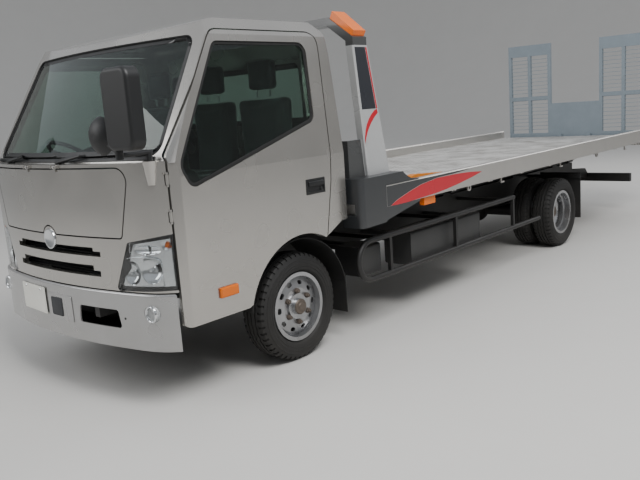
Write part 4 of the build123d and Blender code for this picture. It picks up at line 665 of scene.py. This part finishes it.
# %% [markdown]
# ## Headlamps
# A headlamp is a clear moulded cover over a black bucket that holds chromed reflectors and
# bulbs. The frame has it as one solid, whose outside is right. So the cover is cut from a copy
# of that solid: its outer faces are kept and given a wall. The faces left over become the
# bucket. What shows through the cover is then made inside.

# %% The front skin of the cab, and copies of frame pieces
BEND_X = 760                             # where the wide arc of the nose meets the corner's
WIDE_CENTRE, WIDE_RADIUS = 2207.8, 3325.8
CORNER_X, CORNER_CENTRE, CORNER_RADIUS = 666.4, -631.1, 409.8


def nose(x):
    """The station of the cab's front skin below the windscreen, at a distance from the middle."""
    if abs(x) < BEND_X:
        return WIDE_CENTRE - (WIDE_RADIUS ** 2 - x ** 2) ** 0.5
    return CORNER_CENTRE - (CORNER_RADIUS ** 2 - (abs(x) - CORNER_X) ** 2) ** 0.5


def copy_of(node, name):
    made = bpy.data.objects.new(name, nodes[node].data.copy())
    bpy.context.scene.collection.objects.link(made)
    only(made)
    bpy.ops.object.mode_set(mode="EDIT")
    bpy.ops.mesh.select_all(action="SELECT")
    bpy.ops.mesh.remove_doubles(threshold=0.00002)
    return made


def give_wall(made, thickness, offset, rounding=0.0):
    only(made)
    wall = made.modifiers.new("wall", "SOLIDIFY")
    wall.thickness = thickness / 1000
    wall.offset = offset
    wall.use_even_offset = True
    bpy.ops.object.modifier_apply(modifier="wall")
    if rounding:
        soft = made.modifiers.new("soft_edge", "BEVEL")
        soft.width = rounding / 1000
        soft.segments = 2
        soft.limit_method = "ANGLE"
        bpy.ops.object.modifier_apply(modifier="soft_edge")
    bpy.ops.object.shade_smooth_by_angle(angle=radians(30))


print("nose at the middle and at the lamp", round(nose(0)), round(nose(800)))

# %% Cover and bucket


def faces_forward(place, normal):
    outwards = 0.5 if place.x > 0 else -0.5
    return normal.x * outwards - normal.y * 0.86 > 0.7


cover = copy_of("headlights", "headlamp_covers")
pick_faces(cover, lambda place, normal: not faces_forward(place, normal))
bpy.ops.mesh.delete(type="FACE")
give_wall(cover, 4, -1)
settle(cover, "cab", "clear_polycarbonate", "lamp_clear", "headlights")
bucket = copy_of("headlights", "headlamp_buckets")
pick_faces(bucket, faces_forward)
bpy.ops.mesh.delete(type="FACE")
give_wall(bucket, 2, -1)
settle(bucket, "cab", "black_moulded_plastic", "dark_plastic")
print("cover faces", len(cover.data.polygons), "bucket faces", len(bucket.data.polygons))

# %% [markdown]
# The reflector is one chromed sheet with bowls pressed into it: a wide one for the main beam, one
# beside it, a shallow one above, and a small one round the orange indicator bulb. A grid is
# laid over the lamp's outline and each of its points is pushed back by the depth of the bowls
# there. The part that wraps round the corner is fluted.

# %% Reflectors
LAMP_CORNERS = ((592, 692), (930, 704), (930, 962), (703, 928))
FLUTED_X = 872       # where the fluted part begins
REARMOST = -938      # the station of the bucket's back, which the bowls stay ahead of
BOWLS = (
    # middle X and height, half width and half height, depth
    (802, 790, 66, 74, 46),
    (672, 768, 58, 66, 36),
    (790, 900, 84, 26, 16),
    (905, 925, 22, 24, 9),
)
bpy.ops.object.select_all(action="DESELECT")
bpy.ops.mesh.primitive_grid_add(x_subdivisions=72, y_subdivisions=56, size=1)
reflector = bpy.context.active_object
reflector.name = reflector.data.name = "headlamp_reflector_left"
low_left, low_right, top_right, top_left = [Vector(corner) for corner in LAMP_CORNERS]
for vertex in reflector.data.vertices:
    u, w = vertex.co.x + 0.5, vertex.co.y + 0.5
    spot = (low_left * (1 - u) + low_right * u) * (1 - w) + (top_left * (1 - u) + top_right * u) * w
    back = nose(spot.x) + (13 + 1.2 * sin(spot.x * 0.9) if spot.x > FLUTED_X else 24)
    for x, z, wide, tall, deep in BOWLS:
        share = 1 - ((spot.x - x) / wide) ** 2 - ((spot.y - z) / tall) ** 2
        back += deep * max(0.0, share) ** 0.75
    vertex.co = at(spot.x, min(back, REARMOST), spot.y)
only(reflector)
bpy.ops.object.shade_smooth_by_angle(angle=radians(40))
settle_pair(reflector, "cab", "bright_chrome", "chrome")
print("reflector faces", len(reflector.data.polygons))

# %% A chromed fin between the beams, and the bulbs
FIN_LINE = ((628, 846), (690, 858), (780, 862), (842, 858), (868, 840), (875, 812), (876, 760),
            (876, 706))
fin = outline("headlamp_fin_left", [at(x, nose(x) + 8, z) for x, z in FIN_LINE])
bpy.ops.mesh.extrude_region_move(TRANSFORM_OT_translate={"value": (0, 0.018, 0)})
close_up(fin)
give_wall(fin, 4, 0, 0.8)
BULB = ((0, -2), (5, -1), (8.5, 3), (9, 10), (9, 22), (13, 24), (13, 32), (0, 32))
BULBS = (
    # name, X, height, how far behind the skin, size as a share
    ("main", 802, 790, 18, 1.25),
    ("side", 672, 768, 16, 1.0),
    ("upper", 790, 900, 12, 0.7),
)
INDICATOR_AT = (905, 925)
bulbs = []
for name, x, z, back, share in BULBS:
    section = [at(x + r * share, nose(x) + back + s * share, z) for r, s in BULB]
    bulbs.append(turned("bulb_" + name, section, 20, at(x, nose(x), z)))
fin = joined(fin, bulbs, "headlamp_fin_left")
settle_pair(fin, "cab", "bright_chrome", "chrome")
x, z = INDICATOR_AT
section = [at(x + r * 1.3, nose(x) + 7 + s * 0.45, z) for r, s in BULB]
orange = turned("indicator_bulb_left", section, 24, at(x, 0, z))
settle_pair(orange, "cab", "amber_acrylic", "lamp_colour")
print("bulbs", len(bulbs) + 1, "a side")

# %% [markdown]
# ## What shows between the grille bars
# Behind the slots of the grille lies a dark moulded screen with slats. One slat is a long
# box with rounded edges, leaning forward, and the rest are copies a little higher each time.

# %% Slatted screen behind the grille
SLATS, SLAT_PITCH = 11, 0.017
slat = rounded_block("slat", (-465, 465), (-1032, -1016), (734, 738), 1, 2, lean=28)
close_up(slat)
slats = [twin(slat, "slat_copy", (0, 0, SLAT_PITCH * step)) for step in range(1, SLATS)]
backing = rounded_block("grille_backing", (-475, 475), (-1011, -1005), (720, 920))
pick_faces(backing, lambda place, normal: normal.y < -0.9)
bpy.ops.mesh.inset(thickness=0.012)
bpy.ops.mesh.extrude_region_move(TRANSFORM_OT_translate={"value": (0, 0.003, 0)})
close_up(backing)
grille_screen = joined(slat, slats + [backing], "grille_screen")
settle(grille_screen, "cab", "black_moulded_plastic", "dark_plastic")
print("slats", len(slats) + 1)

# %% [markdown]
# ## Borders and seals of the windows
# The windscreen is bonded in, and its edge is covered from inside by a black ceramic border,
# so that the glue doesn't show. The door windows and the rear window sit in black rubber. Each
# border is taken from a copy of the glass, so that it follows its curve: the outer face is
# kept, inset as one region, and the middle is deleted.

# %% Borders from copies of the glass
FORWARD, UPWARD = 0.857, 0.514           # how far the windscreen's face looks each way
OUT_OF_SCREEN = (0, -FORWARD, UPWARD)
WINDOWS = (
    # new name, node, direction that its outer face looks, border width, wall, body, finish
    ("windscreen_border", "cab_glass", OUT_OF_SCREEN, 38, 1.2, "cab", "black_moulded_plastic"),
    ("windscreen_rubber", "cab_glass", OUT_OF_SCREEN, 13, 9, "cab", "flap_rubber"),
    ("rear_window_rubber", "cab_glass", (0, 1, 0), 20, 7, "cab", "flap_rubber"),
    ("door_window_rubber_left", "door_glass_left", (1, 0, 0), 20, 7, "door_left", "flap_rubber"),
    ("door_window_rubber_right", "door_glass_right", (-1, 0, 0), 20, 7, "door_right", "flap_rubber"),
)
for name, node, looks, width, wall, body, finish in WINDOWS:
    border = copy_of(node, name)
    pick_faces(border, lambda place, normal: normal.dot(Vector(looks)) < 0.8)
    bpy.ops.mesh.delete(type="FACE")
    bpy.ops.mesh.select_all(action="SELECT")
    bpy.ops.mesh.inset(thickness=width / 1000, use_boundary=True, use_even_offset=True)
    bpy.ops.mesh.delete(type="FACE")
    only(border)
    give_wall(border, wall, 1, 1.5 if wall > 3 else 0)
    settle(border, body, finish, "dark_plastic")
    print(name, "faces", len(border.data.polygons))

# %% [markdown]
# ## Wipers
# Two wipers park along the foot of the windscreen. Each has a stiff arm on a round pivot in the
# cowl, and a blade: a long channel that carries a rubber lip against the glass. The arm is a
# box drawn out along its line and narrowed towards the blade; the blade's ends are narrowed too.

# %% Wiper arms and blades
SCREEN_FOOT = (-1050, 1365)              # station and height at the middle
SCREEN_BOW = 3860.6                      # the radius of its bow, seen from above
SCREEN_SLOPE = 0.6


def screen(x, z, lift=0.0):
    """A place on the windscreen, lifted off it by some millimetres."""
    bowed = SCREEN_FOOT[0] + SCREEN_BOW - (SCREEN_BOW ** 2 - x ** 2) ** 0.5
    leaned = bowed + (z - SCREEN_FOOT[1]) * SCREEN_SLOPE
    return at(x, leaned - lift * FORWARD, z + lift * UPWARD)


def bar_through(name, places, widths, thick):
    """A flat bar through a few places, with its own width at each, from a narrow grid."""
    bpy.ops.object.select_all(action="DESELECT")
    bpy.ops.mesh.primitive_grid_add(x_subdivisions=len(places) - 1, y_subdivisions=1, size=1)
    made = bpy.context.active_object
    made.name = made.data.name = name
    up_the_glass = Vector((0, UPWARD, FORWARD))
    for vertex in made.data.vertices:
        index = round((vertex.co.x + 0.5) * (len(places) - 1))
        vertex.co = places[index] + up_the_glass * (vertex.co.y * widths[index] / 1000)
    give_wall(made, thick, 0, 1)
    return made


WIPERS = (
    # name, pivot, elbow, blade's two ends (X and height on the windscreen)
    ("near", (118, 1362), (330, 1392), (60, 1398), (800, 1408)),
    ("far", (-560, 1368), (-330, 1392), (-700, 1404), (30, 1402)),
)
PIVOT_SECTION = ((0, 34), (12, 34), (16, 30), (17, 20), (24, 14), (26, 0), (0, 0))
for name, pivot, elbow, start, end in WIPERS:
    spots = [screen(start[0] + (end[0] - start[0]) * t, start[1] + (end[1] - start[1]) * t, 8)
             for t in (0, 0.08, 0.25, 0.5, 0.75, 0.92, 1)]
    blade = bar_through("wiper_blade_" + name, spots, (6, 11, 13, 16, 13, 11, 6), 12)
    middle = (spots[3] + spots[2]) / 2
    along_arm = [screen(*pivot, 16), screen(*pivot, 30), screen(*elbow, 34), middle]
    arm = bar_through("wiper_arm_" + name, along_arm, (26, 24, 15, 10), 14)
    section = [screen(*pivot, 0) + Vector((r / 1000, 0, 0)) + Vector(OUT_OF_SCREEN) * h / 1000
               for r, h in PIVOT_SECTION]
    hub = turned("wiper_pivot_" + name, section, 24, screen(*pivot), OUT_OF_SCREEN)
    wiper = joined(arm, [blade, hub], "wiper_" + name)
    settle(wiper, "cab", "black_moulded_plastic", "dark_plastic")
    print("wiper", name, "faces", len(wiper.data.polygons))

# %% A dark strip where the windscreen meets the cowl
strip = outline("cowl_strip", [screen(-872 + 1744 * t / 24, 1372, 1.5) for t in range(25)])
bpy.ops.mesh.extrude_region_move(TRANSFORM_OT_translate={"value": (0, 0.0108, 0.018)})
close_up(strip)
give_wall(strip, 4, 1, 1)
settle(strip, "cab", "black_moulded_plastic", "dark_plastic")
print("strip faces", len(strip.data.polygons))

# %% [markdown]
# ## Things fixed to the bumper
# A blank number plate is bolted to the bumper, beside a shallow cover panel with a dark square
# in it. The fog lamps have chromed rings. The plate is a plane with rounded corners, given a
# raised rim and a wall, and then bent to the bumper by moving each point forward to the skin.

# %% Panels that follow the bumper
BUMPER_PROUD = 16        # how far the bumper's face stands ahead of the cab's


def nose_panel(name, x, z, corner, proud, thick, rim=0.0, rim_depth=0.0):
    """A flat panel with rounded corners between two X and two heights, bent to the bumper."""
    bpy.ops.object.select_all(action="DESELECT")
    bpy.ops.mesh.primitive_plane_add(size=1, location=(sum(x) / 2000, 0, sum(z) / 2000),
                                     rotation=(pi / 2, 0, 0))
    made = bpy.context.active_object
    made.name = made.data.name = name
    made.scale = ((x[1] - x[0]) / 1000, (z[1] - z[0]) / 1000, 1)
    bpy.ops.object.transform_apply(location=True, rotation=True, scale=True)
    bpy.ops.object.mode_set(mode="EDIT")
    bpy.ops.mesh.select_all(action="SELECT")
    bpy.ops.mesh.bevel(offset=corner / 1000, segments=5, affect="VERTICES")
    if rim:
        bpy.ops.mesh.select_all(action="SELECT")
        bpy.ops.mesh.inset(thickness=rim / 1000, depth=rim_depth / 1000)
        bpy.ops.mesh.inset(thickness=0.002, depth=-rim_depth / 1000)
    only(made)
    for vertex in made.data.vertices:
        vertex.co.y += (nose(vertex.co.x * 1000) - BUMPER_PROUD - proud + FRONT_AXLE) / 1000
    give_wall(made, thick, 0, min(1.0, thick / 3))
    return made


surface("blank_plate_enamel", "#E4E3DA", 0.35, drift=0.02, grain=6.0, depth=0.004, dust_low=0.3)
plate = nose_panel("blank_plate", (-448, -118), (458, 623), 8, 9, 2.5, 7, -1.5)
settle(plate, "chassis", "blank_plate_enamel", "bumper_paint")
BOLT_Z = 606
BOLT_SECTION = ((0, -3), (4, -3), (7, -1), (8, 2), (8, 6), (0, 6))
bolts = []
for x in (-388, -178):
    section = [at(x + r, nose(x) - 27 + s, BOLT_Z) for r, s in BOLT_SECTION]
    bolts.append(turned("plate_bolt", section, 16, at(x, 0, BOLT_Z)))
bolts = joined(bolts[0], bolts[1:], "plate_bolts")
CREST_Z = 930
CREST_SECTION = ((0, -4), (42, -4), (47, -6), (54, -8), (59, -7), (61, -3), (61, 5), (0, 5))
section = [at(r, nose(0) + s, CREST_Z) for r, s in CREST_SECTION]
crest = turned("bare_crest", section, 48, at(0, 0, CREST_Z))
settle(crest, "cab", "bright_chrome", "chrome")
plug = nose_panel("bumper_plug", (619, 633), (510, 524), 6.9, 0.8, 1.5)
settle(plug, "chassis", "black_moulded_plastic", "dark_plastic")
settle(bolts, "chassis", "bright_chrome", "chrome")
cover_panel = nose_panel("bumper_cover_panel", (-96, 172), (440, 600), 14, 3, 3, 5, -1.2)
settle(cover_panel, "chassis", "silver_bumper_paint", "bumper_paint")
dark_square = nose_panel("bumper_dark_square", (-54, 66), (466, 578), 10, 5.5, 2, 3, -1)
settle(dark_square, "chassis", "grey_trim_plastic", "dark_plastic")
print("panels bent to the bumper", 4)

# %% [markdown]
# The windows in the bumper show a dark space, closed behind and below by a moulded tray of black
# plastic. The tray stands for the dark parts behind the bumper, and it is also painted shade in that
# space, where the pale floor would show through.
# Each fog lamp has a chromed ring, whose place is found by a ray cast at the lamp's face.

# %% Tray behind the bumper
TRAY_SIDE, TRAY_WIDTH = -690, 1.38
# A black sheet behind and below the bumper's windows: partly the dark parts there, partly painted shade
# in place of the pale floor.
tray_and_shade = outline("under_tray_and_shade", [at(TRAY_SIDE, *spot) for spot in ((-1034, 356), (-820, 372), (-770, 650))])
bpy.ops.mesh.extrude_edges_move(TRANSFORM_OT_translate={"value": (TRAY_WIDTH, 0, 0)})
close_up(tray_and_shade)
give_wall(tray_and_shade, 4, 0, 1)
settle(tray_and_shade, "chassis", "black_moulded_plastic", "dark_plastic")
print("tray faces", len(tray_and_shade.data.polygons))

# %% Fog lamp rings
FOG_X, FOG_Z = 815, 555
FOG_RING = ((47, 3), (47, -8), (44, -11), (40, -11), (37, -8), (36, 0), (38, 3), (47, 3))
rings = []
for x in (FOG_X, -FOG_X):
    hit = nodes["chassis_lamps"].ray_cast(at(x, -1400, FOG_Z), Vector((0, 1, 0)))[1]
    front = hit.y * 1000 - FRONT_AXLE
    section = [at(x + r, front + s, FOG_Z) for r, s in FOG_RING]
    rings.append(turned("fog_ring", section, 40, at(x, 0, FOG_Z)))
    print("fog lamp face at station", round(front))
fog_rings = joined(rings[0], rings[1:], "fog_lamp_rings")
settle(fog_rings, "chassis", "bright_chrome", "chrome")

# %% [markdown]
# ## Marker lamps, door handles and mirror glasses
# An amber marker lamp sits low on the front of each door. It is a box with its long edges
# well rounded and its face inset. The handle is a black lever in a black surround.

# %% Marker lamps
clear("amber_lens_plastic", "#F0760C", 0.16, 0.3)
door_skin = nodes["door_left"].ray_cast(at(1400, -625, 612), Vector((-1, 0, 0)))[1].x * 1000
print("door skin at X", round(door_skin, 1))
marker_x = (door_skin - 3, door_skin + 16)
marker = rounded_block("marker_lamp_left", marker_x, (-695, -560), (580, 640), 8)
pick_faces(marker, lambda place, normal: normal.x > 0.95)
bpy.ops.mesh.inset(thickness=0.005, depth=0.0015)
close_up(marker)
settle_pair(marker, "door_left", "amber_lens_plastic", "lamp_colour")

# %% Door handles with their surround and lock
surround = rounded_block("door_handle_left", (985, 995), (66, 240), (1050, 1146), 3, 2)
pick_faces(surround, lambda place, normal: normal.x > 0.95)
bpy.ops.mesh.inset(thickness=0.012)
bpy.ops.mesh.extrude_region_move(TRANSFORM_OT_translate={"value": (-0.007, 0, 0)})
close_up(surround)
lever = rounded_block("handle_lever", (984, 1002), (84, 222), (1098, 1130), 6)
close_up(lever)
LOCK_AT = (206, 1074)
LOCK_SECTION = ((0, 11), (9, 11), (12, 9), (13, 0), (0, 0))
section = [at(984 + s, LOCK_AT[0], LOCK_AT[1] + r) for r, s in LOCK_SECTION]
lock = turned("door_lock", section, 24, at(984, *LOCK_AT), (1, 0, 0), 30)
handle = joined(surround, [lever, lock], "door_handle_left")
settle_pair(handle, "door_left", "black_moulded_plastic", "dark_plastic")
print("handles", 2)

# %% Mirror glasses, looking back
surface("silvered_mirror_glass", "#DDE1E3", 0.03, metallic=1.0, drift=0.0, dust_low=0.05, depth=0.0)
glass_pane = rounded_block("mirror_glass_left", (846, 1044), (-1111, -1108), (1458, 1822), 1.2, 2)
pick_faces(glass_pane, lambda place, normal: normal.y > 0.95)
bpy.ops.mesh.inset(thickness=0.008, depth=0.0012)
close_up(glass_pane)
settle_pair(glass_pane, "cab", "silvered_mirror_glass", "glass")
print("mirror glass faces", len(glass_pane.data.polygons))

# %% [markdown]
# ## Stripes and the posts' finish
# The posts of the gantry are silver below the shoulder, with a dark film over the upper half of
# their outer face, a thin red line behind it and a red swoosh under it. A red wedge runs from
# the foot of the corner cover along the rail, with a dark one over it. Vinyl film is cut flat
# and has a thin edge, so each is an outline filled with one face and given a wall of 0.8 mm.

# %% The posts' finish by place
# These are in metres: the outer part of each post, the shoulder, and the line of the front edge.
POST_INSIDE, SHOULDER_Z = 0.9365, 1.958
EDGE_LEAN, EDGE_Y = 0.1038, -1.9285
posts = surface("silver_post_enamel", "#B9BABA", 0.3, metallic=0.35, patch=240, grain=6.0, depth=0.004,
                coat=0.4, dust_low=0.1)
tree = posts.node_tree
shader = tree.nodes["Principled BSDF"]
painted = shader.inputs["Base Color"].links[0].from_socket
place = add_node(tree, "SeparateXYZ", Vector=add_node(tree, "TexCoord").outputs["Object"])
from_middle = add_node(tree, "Math", {"operation": "ABSOLUTE"}, n0=place.outputs["X"])
outboard = add_node(tree, "Math", MORE_THAN, n0=from_middle, n1=POST_INSIDE)
below = add_node(tree, "Math", {"operation": "LESS_THAN"}, n0=place.outputs["Z"], n1=SHOULDER_Z)
leaning = add_node(tree, "Math", {"operation": "MULTIPLY_ADD"}, n0=place.outputs["Z"], n1=EDGE_LEAN,
                   n2=place.outputs["Y"])
behind_edge = add_node(tree, "Math", MORE_THAN, n0=leaning, n1=EDGE_Y)
outside = add_node(tree, "Math", MULTIPLY, n0=outboard, n1=below)
on_post = add_node(tree, "Math", MULTIPLY, n0=outside, n1=behind_edge)
both = add_node(tree, "Mix", RGBA, Factor=on_post, n6=colour("#4A4B4B"), n7=painted)
fill(shader, Base_Color=both)
for held in nodes["gantry"].material_slots:
    held.material = posts
print("post slots", len(nodes["gantry"].material_slots))

# %% Films


def film(name, x, points, finish, slot_name):
    """A film on both sides of the truck, from stations and heights on the left."""
    made = outline(name + "_left", [at(x, station, z) for station, z in points + points[:1]])
    bpy.ops.mesh.remove_doubles(threshold=MERGE)
    bpy.ops.mesh.select_all(action="SELECT")
    bpy.ops.mesh.edge_face_add()
    only(made)
    bpy.ops.object.transform_apply(location=True, rotation=True, scale=True)
    if made.data.polygons[0].normal.x < 0:
        made.data.flip_normals()
    give_wall(made, 0.8, 0)
    settle_pair(made, "bed", finish, slot_name)


POST_FOOT_Z, POST_TALL = 1098, 867


def front_edge(z, behind):
    return 690 - 90 * (z - POST_FOOT_Z) / POST_TALL + behind, z


def rear_edge(z, ahead):
    return 925 - 180 * (z - POST_FOOT_Z) / POST_TALL - ahead, z


POST_FACE, RAIL_FACE = 1000.4, 1095.4
LOW, TOP = 1542, 1946        # the dark band's lower and upper edge
surface("dark_band_film", "#23252B", 0.3, coat=0.3, dust_low=0.05, grain=6.0, depth=0.003)
FILMS = (
    # name, X, outline, finish, slot
    ("post_dark_band", POST_FACE, (
        front_edge(LOW, 12), rear_edge(LOW, 26), rear_edge(TOP, 26), front_edge(TOP, 12),
    ), "dark_band_film", "gantry_paint"),
    ("post_red_line", POST_FACE, (
        rear_edge(LOW, 22), rear_edge(LOW, 9), rear_edge(TOP, 9), rear_edge(TOP, 22),
    ), "red_stripe_film", "gantry_paint"),
    ("post_red_swoosh", POST_FACE, (
        (668, 1314), (682, 1350), (700, 1388), (722, 1420), (750, 1452), (784, 1484), (826, 1512),
        (818, 1540), (790, 1530), (756, 1508), (724, 1478), (698, 1442), (680, 1400), (670, 1360),
    ), "red_stripe_film", "gantry_paint"),
    ("rail_red_wedge", RAIL_FACE, (
        (792, 880), (860, 876), (983, 876), (1161, 882), (1376, 889), (1517, 900), (1694, 918),
        (1880, 942), (2060, 970), (1920, 984), (1780, 992), (1611, 997), (1384, 998), (1169, 976),
        (1039, 950), (939, 926), (860, 905),
    ), "red_stripe_film", "rail_paint"),
    ("rail_dark_wedge", RAIL_FACE, (
        (752, 879), (788, 879), (858, 908), (937, 929), (1037, 953), (1167, 979), (1384, 1001),
        (1611, 1003), (1850, 1013), (1850, 1017), (752, 1017),
    ), "dark_grey_enamel", "rail_paint"),
)
for row in FILMS:
    film(*row)
print("films on each side", len(FILMS))

# %% [markdown]
# ## In the cab
# Each seat has a cushion, a back and a headrest, stuffed and covered in cloth. Padding is best
# made as what it is: the plain pad is remeshed fine, and blown up a little by cloth pressure,
# so that its sides crown and pull in between the corners. Its movement is then capped, and one
# subdivision smooths it. Three pads are simulated, and the others are copies.

# %% Pads of one seat
PADS = (
    # name, X, station, height
    ("cushion", (-788, -332), (-344, 118), (1066, 1184)),
    ("back", (-786, -334), (156, 254), (1072, 1678)),
    ("headrest", (-672, -448), (164, 236), (1716, 1904)),
)
SWELL = 0.024                # the most that a point may move, in metres
VOXEL, HEADREST_VOXEL = 0.016, 0.012


def swell(made):
    """Blow the pad up like a stuffed cover, and hold each point within the swell."""
    only(made)
    shape = made.modifiers.new("fine", "REMESH")
    shape.mode = "VOXEL"
    shape.voxel_size = HEADREST_VOXEL if made.name.startswith("seat_headrest") else VOXEL
    bpy.ops.object.modifier_apply(modifier="fine")
    before = [vertex.co.copy() for vertex in made.data.vertices]
    cloth_modifier = made.modifiers.new("cover", "CLOTH")
    settings = cloth_modifier.settings
    settings.quality = 6
    settings.use_pressure = True
    settings.uniform_pressure_force = 4
    settings.effector_weights.gravity = 0
    for frame_number in range(1, 21):
        bpy.context.scene.frame_set(frame_number)
    only(made)
    bpy.ops.object.modifier_apply(modifier="cover")
    for vertex, start in zip(made.data.vertices, before):
        moved = vertex.co - start
        if moved.length > SWELL:
            vertex.co = start + moved.normalized() * SWELL
    smooth = made.modifiers.new("smooth", "SUBSURF")
    smooth.levels = smooth.render_levels = 1
    bpy.ops.object.modifier_apply(modifier="smooth")
    bpy.ops.object.shade_smooth_by_angle(angle=radians(60))
    return made


first_seat = []
for name, x, station, z in PADS:
    pad = rounded_block("seat_" + name, x, station, z, 26, 4)
    close_up(pad)
    first_seat.append(swell(pad))
    print(pad.name, "points", len(pad.data.vertices))
bpy.context.scene.frame_set(1)

# %% The other two seats, and the headrests' stays
SEAT_MIDDLES = (-560, 40, 545)
MIDDLE_SHARE = 0.875         # the middle seat is narrower than the other two
pads = list(first_seat)
for place_name, middle in zip(("middle", "left"), SEAT_MIDDLES[1:]):
    for pad in first_seat:
        copy = twin(pad, pad.name + "_" + place_name, ((middle - SEAT_MIDDLES[0]) / 1000, 0, 0))
        if place_name == "middle" and "headrest" not in pad.name:
            for vertex in copy.data.vertices:
                vertex.co.x = middle / 1000 + (vertex.co.x - middle / 1000) * MIDDLE_SHARE
        pads.append(copy)
for pad in pads:
    stands_for = ["seats"] if pad == pads[0] else []
    settle(pad, "cab", "grey_woven_cloth", "seat_fabric", *stands_for)
stays = []
for middle in SEAT_MIDDLES:
    for x in (middle - 60, middle + 60):
        stay = rounded_block("headrest_stay", (x - 5, x + 5), (196, 206), (1670, 1730), 3, 2)
        close_up(stay)
        stays.append(stay)
stays = joined(stays[0], stays[1:], "headrest_stays")
settle(stays, "cab", "bright_chrome", "chrome")
print("pads", len(pads))

# %% [markdown]
# The instruments sit in a hood on the dashboard, with a recess in the side that faces the seat.

# %% Instrument hood
hood = rounded_block("instrument_hood", (-710, -380), (-800, -705), (1296, 1362), 22, 4)
pick_faces(hood, lambda place, normal: normal.y > 0.9)
bpy.ops.mesh.inset(thickness=0.012)
bpy.ops.mesh.extrude_region_move(TRANSFORM_OT_translate={"value": (0, -0.03, 0)})
close_up(hood)
settle(hood, "cab", "grey_trim_plastic", "dark_plastic")
print("hood faces", len(hood.data.polygons))

# %% [markdown]
# ## Rope on the winch
# The winch's steel rope lies wound on its drum in neat turns. Only the outer layer shows, so
# it is turned as one shell with a rounded ridge for each turn.

# %% Wound rope
ROPE = 9                     # its thickness
TURNS = 30
DRUM = (700, 1030)           # the station and height of its axis
END_RADIUS = 61              # where the shell tucks under at both ends
VALLEY_RADIUS, RIDGE = 63, 8
section = [(-TURNS * ROPE / 2, END_RADIUS)]
for turn in range(TURNS):
    left = (turn - TURNS / 2) * ROPE
    section += [(left + ROPE * t, VALLEY_RADIUS + RIDGE * sin(pi * t))
                for t in (0.08, 0.3, 0.5, 0.7, 0.92)]
section.append((TURNS * ROPE / 2, END_RADIUS))
points = [at(x, DRUM[0], DRUM[1] + r) for x, r in section]
rope = turned("rope_on_drum", points, 32, at(0, *DRUM), (1, 0, 0), 50)
surface("wound_wire_rope", "#7D7C78", 0.42, metallic=0.8, drift=0.25, patch=12, dust="#4A4038",
        dust_low=0.5, dust_top=1600, grain=1.5, depth=0.3)
settle(rope, "bed", "wound_wire_rope", "bare_steel")
print("turns", TURNS)
